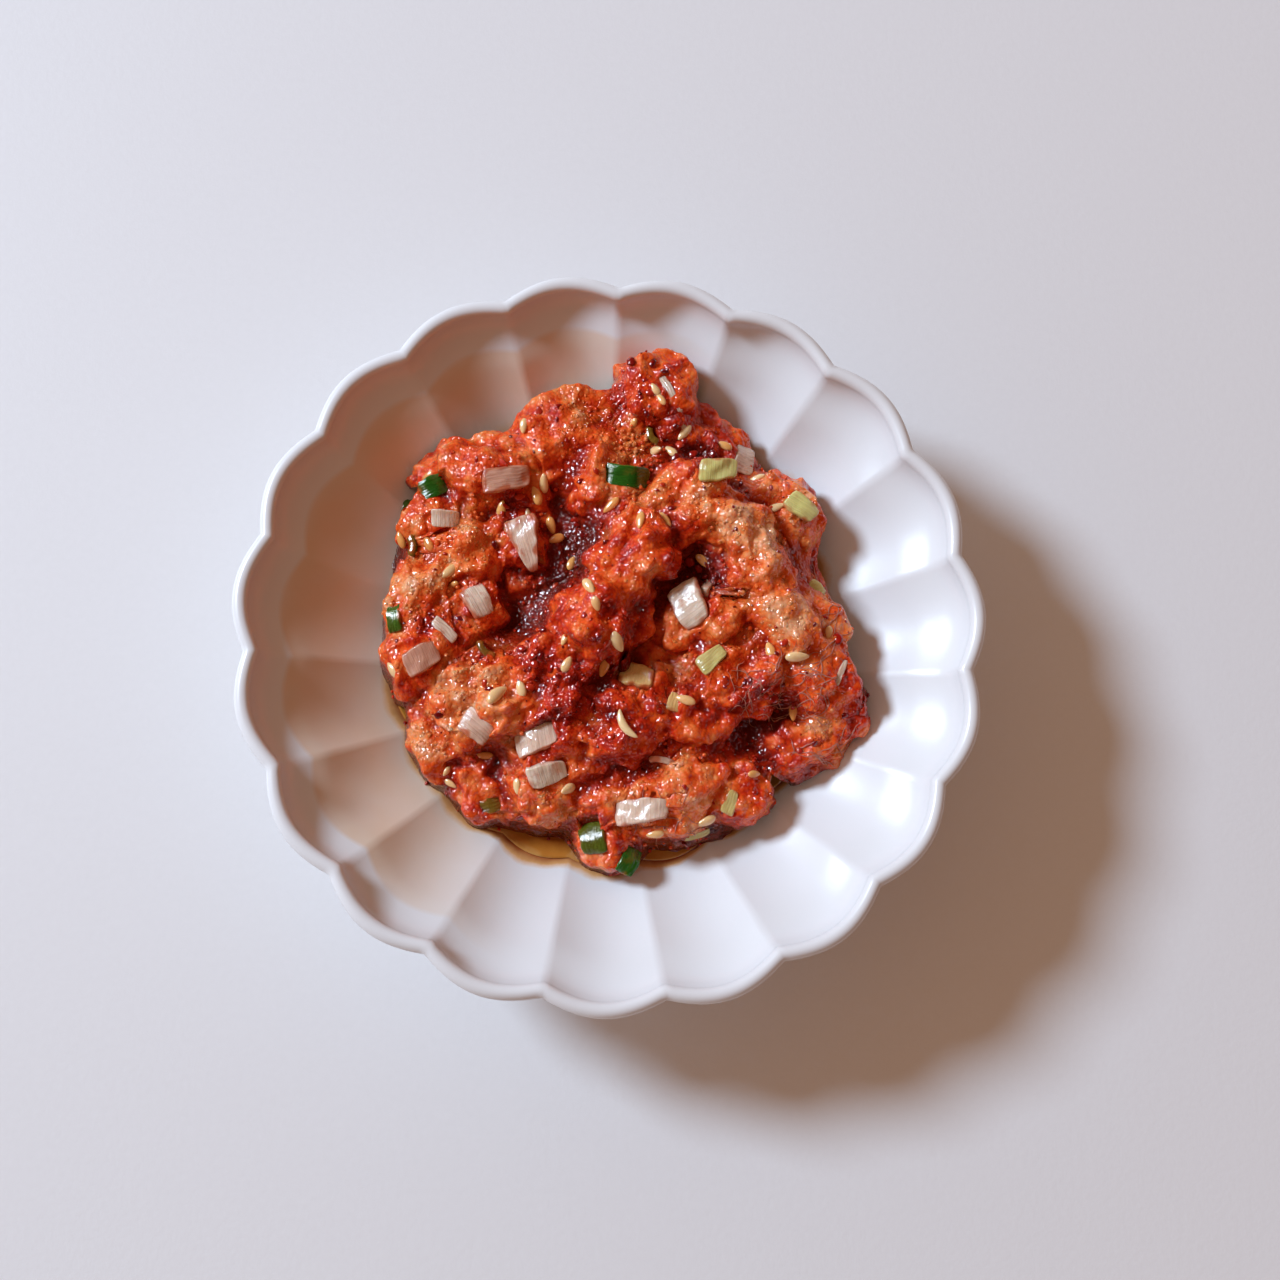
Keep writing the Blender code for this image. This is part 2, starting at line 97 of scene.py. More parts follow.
WALL_SHADE_END = (47, 52)  # radii between which it fades out
# Oil that clings to the wall above the pool: middle azimuth, half width in degrees, millimetres.
FILMS = [(105, 42, 6.0), (48, 22, 7.0), (15, 22, 3.5), (205, 45, 2.2), (262, 35, 2.2)]
FILM_LEAST = 1.2

# The lumps of roe: x, y, height of the top, half length, half width, half depth, yaw.
CORE = (1, 2, 20.5, 31, 32, 8.5, 0)
CORE_KEY = 99
RIDGE = [
    (10.5, 20, 29, 8, 6, 7, 50),
    (4, 12.5, 30.5, 8.5, 6.5, 8.5, 60),
    (-2, 2.5, 31, 9, 7, 9, 55),
    (-8, -5, 29, 8, 6.5, 8.5, 45),
    (-13.5, -9, 27, 7.5, 6, 7, 30),
]
ARCH = [
    (13.5, 19, 28.5, 5.5, 5, 6, 0),
    (19, 16.5, 29, 6.5, 5.5, 7, -30),
    (22, 10.5, 28.5, 6, 5, 7, -70),
    (18.5, 5, 27, 6, 5, 7, 20),
]
BACK = [
    (-6.5, 31, 26.5, 9.5, 7.5, 8, 30),
    (-1, 24, 27.5, 7, 5.5, 7, 70),
    (7, 38, 27, 7.5, 6.2, 7, 95),
    (14, 31, 23, 6, 5.5, 6, 120),
    (25.5, 20.5, 24.5, 6.5, 5.5, 6, -45),
]
LEFT = [
    (-17.5, 25, 26, 8.5, 6, 7, -10),
    (-25, 26, 22, 5, 4.5, 5, 40),
    (-20.5, 13, 24.5, 8, 6.5, 7, 60),
    (-26.5, 18.5, 22, 6, 5, 5.5, 60),
    (-28, 6, 24, 7, 5.5, 7, 80),
    (-28, -2, 23.5, 6.5, 5.5, 7, 100),
]
RIGHT = [
    (26, 2, 27, 10, 7, 7.5, -50),
    (30.5, -5, 25, 6.5, 5.5, 6, -50),
    (20, -5, 25.5, 8, 6, 7, 0),
    (33, -9.5, 21.5, 5.4, 5, 4.5, -20),
    (28.5, -14.5, 20.5, 7, 5, 5, 15),
]
FRONT = [
    (2, -12, 26, 9, 7.5, 8, 10),
    (11.5, -10, 24.5, 8, 6, 7, -20),
    (-7, -15.5, 24.5, 7, 6, 7, 30),
    (10.5, -21.5, 23, 9.5, 6.5, 7, 20),
    (19.5, -22, 21, 5.2, 4.5, 4.5, 0),
    (11.5, 2, 25.5, 5.5, 4.5, 5, 0),
    (-9.5, -22.3, 22, 6, 5, 5.5, 0),
    (-1, -22.5, 21.5, 7, 5.5, 5.5, 20),
    (-0.5, -29.8, 18.6, 4.4, 3.5, 3.2, -20),
    (-19.5, -8.5, 25, 8, 7, 7.5, 20),
    (-24.5, -14.5, 21, 6.8, 5.4, 5.5, -60),
    (-18.5, -21.5, 19.8, 5.8, 4.5, 4.5, -40),
]
UNDER_SLICES = [
    (-19.5, 5.5, 22.5, 5, 4.5, 5, 0),
    (-13, 14.5, 23, 4.5, 4, 5, 0),
]
LUMPS = RIDGE + ARCH + BACK + LEFT + RIGHT + FRONT + UNDER_SLICES
LUMP_DETAIL = 5
LUMP_BOXY = 0.85  # below 1 a lump is squarer than an ellipsoid
LUMP_SWELL = [(0.30, 1.6), (0.16, 3.6), (0.07, 8)]  # share of the reach, how fine
TILT = 25
NOISE_STRIDE = Vector((7.3, 3.1, 5.7))
LEAN_SHIFTS = (Vector((0.5, 0, 0)), Vector((0, 0.5, 0.5)))
HEAP_VOXEL = 0.30
HEAP_CUT = 11.6  # the fine heap ends just under the sauce
HEAP_FOOT_RADIUS = 28.0
GAP = 0.3  # between the heap's foot and the porcelain
BASE_COLUMNS = 64
PLAN_REACH = 45.0
PLAN_CELL = 0.6
FOLD_CELLS = 6  # folds up to twice this many cells wide are filled
FOLD_DEPTH = 1.6
# x, y, reach, deeper
HOLES = [(9.5, 10.5, 4.0, 6.0), (-9, 13, 4.0, 2.5), (-15, 4, 2.5, 2.5), (23, -12, 4, 3.0)]
BURIED = 1.0  # what would be below the bowl's inside is kept this deep in the porcelain
# The heap's fine relief in millimetres: height, size of the bumps, shift of the noise.
RELIEF = [(0.60, 4.2, 1.0), (0.24, 1.9, 5.0), (0.10, 0.95, 7.0)]

# Where the roe is paler or redder than elsewhere: x, y, reach, how much.
PALE_SPOTS = [
    (20, 15, 7, 0.9), (14, 19, 5, 0.6), (-20, -8, 7, 0.8), (-29, 6, 5, 0.7), (27, 2, 8, 0.6),
    (-9, -24, 5, 0.5), (8, -24, 8, 0.5), (2, 22, 5, 0.6), (-22, 12, 6, 0.5), (-26, -14, 5, 0.5),
    (26, 20, 6, 0.5), (31, -12, 5, 0.4), (3, 28, 4, 0.6), (-4, 32, 6, 0.2),
]
RED_SPOTS = [
    (5, 38, 6, 0.7), (-1, -9, 8, 0.7), (-8, 13, 7, 0.9), (38, -8, 5, 0.9), (12, 10, 5, 0.8),
    (-27, 2, 3, 0.7), (-12, -5, 5, 0.5), (3, -14, 7, 0.6), (-15, 20, 4, 0.5), (14, 28, 4, 0.8),
    (24, -9, 7, 0.6), (-7, -11, 5, 0.4), (-2, 0, 7, 0.4),
]

# ---------------- plain helpers


def smoothstep(value, low, high):
    share = np.clip((value - low) / (high - low), 0.0, 1.0)
    return share * share * (3 - 2 * share)


def inside_height(radius):
    """Height of the bowl's inside along a ridge between two lobes."""
    return FLOOR_HEIGHT + WALL_RISE * (radius / WALL_RADIUS) ** WALL_POWER


def inside_slope(radius):
    return WALL_RISE * WALL_POWER / WALL_RADIUS * (radius / WALL_RADIUS) ** (WALL_POWER - 1)


def off_inside(radius, distance):
    """The point this far along the normal of the inside, positive into the bowl."""
    slope = inside_slope(radius)
    length = math.hypot(slope, 1)
    return (radius - distance * slope / length, inside_height(radius) + distance / length)


def radius_at(height):
    return WALL_RADIUS * ((height - FLOOR_HEIGHT) / WALL_RISE) ** (1 / WALL_POWER)


def wall_thickness(radius):
    share = smoothstep(radius, FOOT_RADIUS, WALL_RADIUS)
    return WALL_AT_FOOT + (WALL_AT_RIM - WALL_AT_FOOT) * share


def lobe(angle):
    """0 on a ridge between two lobes and 1 in a lobe's middle."""
    return np.abs(np.sin(LOBES * (angle - FIRST_RIDGE) / 2))


def pressed(radius, angle):
    """How far a lobe pushes a point of this ridge radius outward."""
    return FLUTE_DEPTH * smoothstep(radius, FLUTE_START, FLUTE_FULL) * lobe(angle)


def wall_height(x, y):
    """Height of the bowl's inside under a point, in millimetres."""
    radius = np.hypot(x, y)
    angle = np.arctan2(y, x)
    ridge = radius - pressed(radius, angle)
    ridge = radius - pressed(ridge, angle)
    return inside_height(ridge)


def new_object(name, points, faces, finish, values=None):
    """A smooth mesh object from arrays in millimetres, with its values by point."""
    name = name.replace(" ", "_")
    mesh = bpy.data.meshes.new(name)
    mesh.from_pydata((np.asarray(points) * MM).tolist(), [], np.asarray(faces).tolist())
    for key, value in (values or {}).items():
        value = np.asarray(value, np.float32)
        kind = "FLOAT" if value.ndim == 1 else "FLOAT_VECTOR"
        layer = mesh.attributes.new(key, kind, "POINT")
        layer.data.foreach_set("value" if value.ndim == 1 else "vector", value.ravel())
    mesh.materials.append(finish)
    mesh.shade_smooth()
    obj = bpy.data.objects.new(name, mesh)
    bpy.context.scene.collection.objects.link(obj)
    return obj


def ring_faces(rows, columns):
    """Quads between rings of points."""
    faces = []
    for row in range(rows - 1):
        for column in range(columns):
            here = row * columns + column
            there = row * columns + (column + 1) % columns
            faces.append((here, there, there + columns, here + columns))
    return faces


def last_to_first(rows, columns):
    """Quads that join the last ring of points to the first."""
    last = (rows - 1) * columns
    return [(last + here, last + (here + 1) % columns, (here + 1) % columns, here) for here in range(columns)]


def put_right(obj):
    """Merges the rings on the axis and turns every face outward."""
    bm = bmesh.new()
    bm.from_mesh(obj.data)
    middle = [vertex for vertex in bm.verts if vertex.co.xy.length < 10 * AXIS_RADIUS * MM]
    bmesh.ops.remove_doubles(bm, verts=middle, dist=10 * AXIS_RADIUS * MM)
    bmesh.ops.recalc_face_normals(bm, faces=bm.faces)
    bm.to_mesh(obj.data)
    bm.free()


def arrays_of(obj):
    """Points in millimetres, triangles and point normals of an object's evaluated mesh."""
    graph = bpy.context.evaluated_depsgraph_get()
    done = obj.evaluated_get(graph)
    mesh = done.to_mesh()
    mesh.calc_loop_triangles()
    points, normals = np.empty((2, len(mesh.vertices) * 3), np.float32)
    faces = np.empty(len(mesh.loop_triangles) * 3, np.int32)
    mesh.vertices.foreach_get("co", points)
    mesh.vertices.foreach_get("normal", normals)
    mesh.loop_triangles.foreach_get("vertices", faces)
    done.to_mesh_clear()
    return points.reshape(-1, 3) / MM, faces.reshape(-1, 3), normals.reshape(-1, 3)


def noise_at(points, scale, shift=0.0):
    """Smooth noise from about -1 to 1, with bumps about scale millimetres across."""
    offset = Vector((shift, shift * 1.7, shift * 2.3))
    return np.array([noise.noise(Vector(point) / scale + offset) for point in points.tolist()])


def shape_of(maker, **settings):
    """Points and triangles of one of bmesh's round primitives."""
    bm = bmesh.new()
    maker(bm, **settings)
    bmesh.ops.triangulate(bm, faces=bm.faces)
    points = np.array([vertex.co[:] for vertex in bm.verts])
    faces = np.array([[vertex.index for vertex in face.verts] for face in bm.faces])
    bm.free()
    return points, faces


def joined(shapes):
    """One set of points, faces and values from many (points, faces, values) shapes."""
    start = 0
    points, faces, values = [], [], {}
    for shape_points, shape_faces, shape_values in shapes:
        points.append(shape_points)
        faces.append(np.asarray(shape_faces) + start)
        start += len(shape_points)
        for key, value in shape_values.items():
            value = np.asarray(value, float)
            if value.ndim == 0:
                value = np.full(len(shape_points), float(value))
            values.setdefault(key, []).append(value)
    merged = {key: np.concatenate(parts) for key, parts in values.items()}
    return np.concatenate(points), np.concatenate(faces), merged


# ---------------- materials


class Nodes:
    """A short way of writing a node material."""

    def __init__(self, name):
        self.material = bpy.data.materials.new(name)
        self.material.use_nodes = True
        self.tree = self.material.node_tree
        self.shader = self.tree.nodes["Principled BSDF"]

    def add(self, kind, **settings):
        node = self.tree.nodes.new(kind)
        for key, value in settings.items():
            setattr(node, key, value)
        return node

    def feed(self, socket, item):
        """Sets a number, a vector or a colour on the socket, or links an output to it."""
        if isinstance(item, tuple):
            socket.default_value = (*item, 1)[:len(socket.default_value)]
        elif isinstance(item, (int, float)):
            socket.default_value = item
        elif item is not None:
            self.tree.links.new(item, socket)

    def fill(self, node, **items):
        for key, item in items.items():
            self.feed(node.inputs[key.replace("_", " ")], item)

    def set(self, **items):
        self.fill(self.shader, **items)

    def value(self, name, output="Fac"):
        """The output of a value stored on the mesh."""
        return self.add("ShaderNodeAttribute", attribute_name=name).outputs[output]

    def place(self):
        return self.add("ShaderNodeTexCoord").outputs["Object"]

    def noise(self, scale, detail=3.0, roughness=0.5, vector=None):
        node = self.add("ShaderNodeTexNoise")
        self.fill(node, Scale=scale, Detail=detail, Roughness=roughness, Vector=vector or self.place())
        return node.outputs["Fac"]

    def cells(self, scale):
        node = self.add("ShaderNodeTexVoronoi")
        self.fill(node, Scale=scale, Vector=self.place())
        return node

    def maths(self, operation, first, second, clamp=False):
        node = self.add("ShaderNodeMath", operation=operation, use_clamp=clamp)
        self.feed(node.inputs[0], first)
        self.feed(node.inputs[1], second)
        return node.outputs[0]

    def times(self, first, second, clamp=False):
        return self.maths("MULTIPLY", first, second, clamp)

    def plus(self, first, second):
        return self.maths("ADD", first, second)

    def minus(self, first, second):
        return self.maths("SUBTRACT", first, second)

    def ramp(self, factor, stops):
        node = self.add("ShaderNodeValToRGB")
        elements = node.color_ramp.elements
        while len(elements) < len(stops):
            elements.new(0.5)
        for element, (place, colour) in zip(elements, stops):
            element.position = place
            element.color = (*colour, 1)
        self.fill(node, Fac=factor)
        return node.outputs["Color"]

    def mix(self, factor, first, second):
        node = self.add("ShaderNodeMix", data_type="RGBA")
        for index, item in ((0, factor), (6, first), (7, second)):
            self.feed(node.inputs[index], item)
        return node.outputs[2]

    def paint(self, colour):
        self.set(Base_Color=colour)

    def bump(self, height, strength, distance, sockets=("Normal", "Coat Normal")):
        """Bump for the surface and for the clear coat on it, or for one of them."""
        node = self.add("ShaderNodeBump")
        self.fill(node, Strength=strength, Distance=distance, Height=height)
        for socket in sockets:
            self.feed(self.shader.inputs[socket], node.outputs["Normal"])


def porcelain_finish():
    """White glaze. The mesh stores how near the oil is, for the smear that it leaves, and where warm shade is
    painted on the wall.
    """
    made = Nodes("Porcelain glaze")
    made.set(Roughness=0.32, IOR=1.5, Coat_Weight=0.25, Coat_Roughness=0.12)
    cloud = made.noise(60, 3)
    white = made.mix(cloud, (0.79, 0.795, 0.81), (0.83, 0.83, 0.84))
    # Painted shade: the wall that the rim shades is painted warm brown in noisy streaks.
    shade_streaks = made.plus(made.times(made.noise(130, 3, 0.5), 0.5), 0.6)
    white = made.mix(made.times(shade_streaks, made.value("painted_wall_shade")), white, (0.78, 0.60, 0.44))
    edge = made.times(made.minus(made.noise(170, 4, 0.6), 0.5), 0.9)
    smear = made.plus(made.value("film"), edge)
    thin = made.times(smear, 2.2, clamp=True)
    thick = made.times(made.minus(smear, 0.35), 1.6, clamp=True)
    tint = made.mix(thick, (0.74, 0.40, 0.15), (0.30, 0.065, 0.012))
    made.paint(made.mix(thin, white, tint))
    wave = made.noise(220, 2)
    speck = made.noise(1400, 2)
    made.bump(made.plus(wave, made.times(speck, 0.12)), 0.06, 0.0006)
    return made.material


def roe_finish(name, grain):
    """Wet translucent roe. The mesh stores how red each point is, with painted light and shade mixed in, and
    how much painted shade darkens it.
    """
    made = Nodes(name)
    made.set(Roughness=0.4, IOR=1.38, Specular_IOR_Level=0.1)
    made.set(Coat_Weight=1.0, Coat_Roughness=0.045, Coat_IOR=1.5)
    made.set(Subsurface_Weight=0.45, Subsurface_Radius=(1.0, 0.36, 0.16), Subsurface_Scale=0.0004)
    eggs = made.cells(grain)
    away = made.times(eggs.outputs["Distance"], 1.3, clamp=True)
    dome = made.minus(1.0, made.times(away, away))
    own = made.minus(eggs.outputs["Color"], 0.5)
    patch = made.minus(made.noise(300, 4, 0.6), 0.5)
    mixed = made.plus(made.value("red"), made.times(patch, 1.1))
    # Painted light and shade: each egg is painted paler in its middle than at its edges.
    mixed = made.minus(mixed, made.times(dome, 0.12))
    mixed = made.plus(mixed, made.times(own, 0.08))
    colour = made.ramp(made.plus(mixed, 0.10), [
        (0.02, (0.86, 0.40, 0.20)),
        (0.22, (0.88, 0.24, 0.06)),
        (0.45, (0.84, 0.105, 0.012)),
        (0.68, (0.58, 0.024, 0.003)),
        (0.95, (0.20, 0.004, 0.001)),
    ])
    # Painted shade: the hollows are mixed towards near black.
    colour = made.mix(made.value("painted_shade"), colour, (0.06, 0.005, 0.001))
    made.paint(colour)
    made.bump(dome, 0.6, 0.0002, ["Normal"])
    made.bump(made.plus(made.noise(750, 1, 0.5), made.times(dome, 0.26)), 1.0, 0.0007, ["Coat Normal"])
    return made.material


def oil_finish():
    """Chilli oil: amber where it is thin and brown red where it is deep."""
    made = Nodes("Chilli oil")
    made.set(Roughness=0.05, IOR=1.47, Coat_Weight=1.0, Coat_Roughness=0.02)
    depth = made.value("depth")
    cloud = made.noise(260, 3)
    mixed = made.plus(depth, made.times(made.minus(cloud, 0.5), 0.25))
    colour = made.ramp(mixed, [
        (0.0, (0.68, 0.38, 0.12)),
        (0.08, (0.50, 0.19, 0.03)),
        (0.25, (0.33, 0.085, 0.010)),
        (0.5, (0.16, 0.025, 0.004)),
        (0.9, (0.07, 0.008, 0.002)),
    ])
    made.paint(colour)
    made.bump(made.noise(500, 2), 0.05, 0.0004)
    return made.material


def slice_finish(name, colour, pale, stain, striping):
    """Scallion or garlic: ribs run along its fibres, and the dressing stains it."""
    made = Nodes(name)
    made.set(Roughness=0.20, IOR=1.42, Coat_Weight=1.0, Coat_Roughness=0.04)
    made.set(Subsurface_Weight=0.4, Subsurface_Radius=(1.0, 0.6, 0.4), Subsurface_Scale=0.0012)
    stretch = made.add("ShaderNodeMapping")
    made.fill(stretch, Scale=(4300, 150, 90), Vector=made.value("fibre", "Vector"))
    lines = made.noise(1.0, 3, 0.6, stretch.outputs["Vector"])
    lines = made.times(made.minus(lines, 0.36), 3.2, clamp=True)
    broad = made.noise(260, 2)
    base = made.mix(broad, colour, pale)
    base = made.mix(made.times(lines, striping), base, tuple(0.55 * part for part in colour))
    patch = made.noise(420, 4, 0.65)
    amount = made.times(made.minus(patch, 0.54), 5.0, clamp=True)
    amount = made.times(amount, stain)
    amount = made.maths("MAXIMUM", amount, made.value("stain"), clamp=True)
    dressing = made.mix(made.noise(900, 3), (0.62, 0.15, 0.03), (0.40, 0.035, 0.006))
    made.paint(made.mix(amount, base, dressing))
    made.bump(made.plus(lines, made.times(patch, 4.0)), 0.25, 0.0002)
    return made.material


def seed_finish():
    made = Nodes("Sesame seed")
    made.set(Roughness=0.2, IOR=1.45, Coat_Weight=1.0, Coat_Roughness=0.05)
    made.set(Subsurface_Weight=0.2, Subsurface_Radius=(1.0, 0.6, 0.3), Subsurface_Scale=0.0008)
    tone = made.value("tone")
    fine = made.noise(1800, 3)
    mixed = made.plus(tone, made.times(made.minus(fine, 0.5), 0.3))
    colour = made.ramp(mixed, [
        (0.0, (0.95, 0.68, 0.36)),
        (0.5, (0.88, 0.42, 0.12)),
        (1.0, (0.62, 0.17, 0.03)),
    ])
    made.paint(colour)
    made.bump(fine, 0.15, 0.0001)
    return made.material


def flake_finish():
    made = Nodes("Chilli flake")
    made.set(Roughness=0.15, IOR=1.45, Coat_Weight=1.0, Coat_Roughness=0.04)
    tone = made.value("tone")
    colour = made.ramp(made.plus(tone, made.times(made.noise(1500, 2), 0.2)), [
        (0.0, (0.62, 0.045, 0.012)),
        (0.6, (0.38, 0.010, 0.004)),
        (1.0, (0.16, 0.004, 0.003)),
    ])
    made.paint(colour)
    return made.material


def strand_finish():
    made = Nodes("Roe membrane")
    made.set(Roughness=0.3, IOR=1.4, Coat_Weight=0.6, Coat_Roughness=0.1)
    cloud = made.noise(400, 2)
    made.paint(made.mix(cloud, (0.62, 0.26, 0.18), (0.50, 0.13, 0.07)))
    return made.material


def floor_finish():
    made = Nodes("Pale table")
    made.set(Roughness=0.5, IOR=1.45)
    fine = made.noise(900, 4, 0.7)
    made.paint(made.mix(fine, (0.80, 0.80, 0.81), (0.84, 0.84, 0.85)))
    made.bump(fine, 0.12, 0.0003)
    return made.material


# ---------------- the bowl


def bend_to_lip(end):
    """Points of the smooth bend from the wall up into the lip."""
    start = (BEND_RADIUS, inside_height(BEND_RADIUS))
    reach = math.dist(start, end)
    slope = math.atan(inside_slope(BEND_RADIUS))
    steep = math.radians(BEND_STEEP)
    leave = (start[0] + 0.4 * reach * math.cos(slope), start[1] + 0.4 * reach * math.sin(slope))
    arrive = (end[0] - 0.4 * reach * math.cos(steep), end[1] - 0.4 * reach * math.sin(steep))
    corners = (start, leave, arrive, end)
    points = []
    for t in np.linspace(0, 1, 12)[1:-1]:
        shares = ((1 - t) ** 3, 3 * t * (1 - t) ** 2, 3 * t * t * (1 - t), t ** 3)
        points.append(tuple(
            sum(share * corner[axis] for share, corner in zip(shares, corners)) for axis in (0, 1)
        ))
    return points


def bowl_profile():
    """Ridge points from the lip down the outside, round the foot and up the inside."""
    lip_middle = (LIP_INNER_RADIUS + LIP_OUTER_RADIUS) / 2
    lip_half = (LIP_OUTER_RADIUS - LIP_INNER_RADIUS) / 2
    lip_base = BOWL_HEIGHT - lip_half

    def lip_arc(start, end, count):
        turns = np.radians(np.linspace(start, end, count))
        return [(lip_middle + lip_half * math.cos(a), lip_base + lip_half * math.sin(a)) for a in turns]

    outside = [off_inside(r, -float(wall_thickness(r))) for r in np.linspace(50, 26, 26)]
    neck = outside[-1]
    foot = [
        (neck[0] - 0.5, neck[1] - 0.5), (FOOT_RADIUS + 0.1, neck[1] - 1.2), (FOOT_RADIUS, neck[1] - 2),
        (FOOT_RADIUS - 0.1, 1.6), (FOOT_RADIUS - 0.3, 0.6), (FOOT_RADIUS - 0.6, 0.15), (FOOT_RADIUS - 0.9, 0),
        (FOOT_INNER_RADIUS + 0.6, 0), (FOOT_INNER_RADIUS + 0.2, 0.2), (FOOT_INNER_RADIUS, 0.7),
        (FOOT_INNER_RADIUS - 0.3, FOOT_RECESS - 0.6), (FOOT_INNER_RADIUS - 0.9, FOOT_RECESS),
        (12, FOOT_RECESS), (AXIS_RADIUS, FOOT_RECESS),
    ]
    inside = [(r, inside_height(r)) for r in (AXIS_RADIUS, 8, 14, *np.linspace(18, BEND_RADIUS, 26))]
    inside += bend_to_lip(lip_arc(200, 110, 7)[0])
    return lip_arc(90, -15, 7) + outside + foot + inside + lip_arc(200, 110, 7)


def azimuths(points):
    return np.degrees(np.arctan2(points[:, 1], points[:, 0]))


def turned_away(points, middle, half):
    """0 at the middle azimuth and 1 at the half width from it, both in degrees."""
    return np.abs((azimuths(points) - middle + 180) % 360 - 180) / half


def on_inside(points):
    return points[:, 2] > wall_height(points[:, 0], points[:, 1]) - 0.5


def film_on(points):
    """1 at the pool's edge and 0 where the smear ends, on the inside of the bowl."""
    width = np.full(len(points), FILM_LEAST)
    for middle, half, reach in FILMS:
        width = np.maximum(width, reach * (1 - smoothstep(turned_away(points, middle, half), 0.4, 1.0)))
    ridge = np.hypot(points[:, 0], points[:, 1]) - 1.2 * lobe(np.radians(azimuths(points)))
    film = 1 - (ridge - radius_at(SAUCE_HEIGHT)) / width
    return np.where(on_inside(points), np.clip(film, -1, 1.5), -1)


def painted_wall_shade_on(points):
    """How much painted warm shade darkens the inside wall, on the window's side that the rim shades."""
    beside = 1 - smoothstep(turned_away(points, WALL_SHADE_MIDDLE, WALL_SHADE_HALF), 0.6, 1.0)
    below = 1 - smoothstep(np.hypot(points[:, 0], points[:, 1]), *WALL_SHADE_END)
    return np.where(on_inside(points), beside * below, 0)


def build_bowl(finish):
    profile = np.array(bowl_profile())
    angles = FIRST_RIDGE + np.arange(LOBES * BOWL_STEPS) * math.tau / (LOBES * BOWL_STEPS)
    radius = np.repeat(profile[:, 0], len(angles))
    height = np.repeat(profile[:, 1], len(angles))
    angle = np.tile(angles, len(profile))
    radius = radius + np.where(height > FOOT_RECESS, pressed(radius, angle), 0)
    points = np.stack([radius * np.cos(angle), radius * np.sin(angle), height], -1)
    faces = ring_faces(len(profile), len(angles)) + last_to_first(len(profile), len(angles))
    values = {"film": film_on(points), "painted_wall_shade": painted_wall_shade_on(points)}
    bowl = new_object("Porcelain bowl", points, faces, finish, values)
    put_right(bowl)
    bowl.data.shade_smooth()
    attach(bowl, "root")
    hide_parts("bowl")
    return bowl


# ---------------- the roe


def lump(row, key, sphere):
    """The same rough lump as the solid's. The key picks its own stretch of the noise."""
    x, y, top, length, width, depth, yaw = row
    offset = NOISE_STRIDE * key
    lean = [math.radians(TILT) * noise.noise(offset + shift) for shift in LEAN_SHIFTS]
    turn = np.array(Euler((*lean, math.radians(yaw))).to_matrix())
    points, faces = sphere
    ways = points / np.linalg.norm(points, axis=1)[:, None]
    boxy = np.sign(ways) * np.abs(ways) ** LUMP_BOXY
    swell = np.array([
        sum((share * noise.noise(way * finer + offset) for share, finer in LUMP_SWELL), 1.0)
        for way in map(Vector, ways.tolist())
    ])
    reach = boxy * np.array([length, width, depth]) * swell[:, None]
    return reach @ turn.T + np.array([x, y, top - depth]), faces, {}


def remeshed(name, shapes, voxel, finish):
    points, faces, _ = joined(shapes)
    obj = new_object(name, points, faces, finish)
    remesh = obj.modifiers.new("Fuse", "REMESH")
    remesh.mode = "VOXEL"
    remesh.voxel_size = voxel * MM
    smooth = obj.modifiers.new("Smooth", "SMOOTH")
    smooth.factor = 0.5
    smooth.iterations = 2
    done = arrays_of(obj)
    bpy.data.objects.remove(obj, do_unlink=True)
    return done


def spot_field(points, spots):
    """Soft patches round named places on the plan."""
    field = np.zeros(len(points))
    for x, y, reach, amount in spots:
        away = np.hypot(points[:, 0] - x, points[:, 1] - y) / reach
        field = np.maximum(field, amount * np.exp(-away ** 2 * 1.2))
    return field


def roe_tones(points, normals, height):
    """How red the roe is and how much painted shade darkens it: crowns painted pale as if lit, folds and
    undersides painted red and deep hollows painted dark as shade.
    """
    broad = noise_at(points, 6, 3.0)
    medium = noise_at(points, 2.2, 9.0)
    red = 0.42 + 0.22 * broad + 0.20 * medium
    red += 0.40 * spot_field(points, RED_SPOTS) - 0.42 * spot_field(points, PALE_SPOTS)
    # Painted light: crowns that stand high are painted paler.
    red -= 0.10 * smoothstep(height, 1.5, 4.0)
    # Painted shade: faces that turn down are painted redder.
    red += 0.25 * (1 - smoothstep(normals[:, 2], -0.2, 0.5))
    hollow = 1 - smoothstep(height, -2.6, 0.4)
    # Painted shade: hollows are painted redder.
    red += 0.35 * hollow
    # Painted shade: hollows are painted dark. The roe also darkens towards its foot by the oil.
    painted_shade = 0.65 * hollow + 0.3 * (1 - smoothstep(points[:, 2], SAUCE_HEIGHT, SAUCE_HEIGHT + 3))
    return {"red": np.clip(red, 0, 1), "painted_shade": np.clip(painted_shade, 0, 0.8)}


def plan_of(points, least):
    """A grid over the plan with the highest point in each cell."""
    size = int(2 * PLAN_REACH / PLAN_CELL)
    place = np.clip(((points[:, :2] + PLAN_REACH) / PLAN_CELL).astype(int), 0, size - 1)
    top = np.full((size, size), least)
    np.maximum.at(top, (place[:, 1], place[:, 0]), points[:, 2])
    return top


def spread(grid, choose, rounds):
    """The highest or lowest value of each cell's neighbours, again and again."""
    for turn in range(rounds):
        sides = [np.roll(grid, step, axis) for step in (1, -1) for axis in (0, 1)]
        if turn % 2:
            sides += [np.roll(np.roll(grid, step, 0), other, 1) for step in (1, -1) for other in (1, -1)]
        for side in sides:
            grid = choose(grid, side)
    return grid


def blurred(grid, rounds):
    for _ in range(rounds):
        sides = [np.roll(grid, step, axis) for axis in (0, 1) for step in (1, -1)]
        grid = sum([grid, *sides]) / 5
    return grid


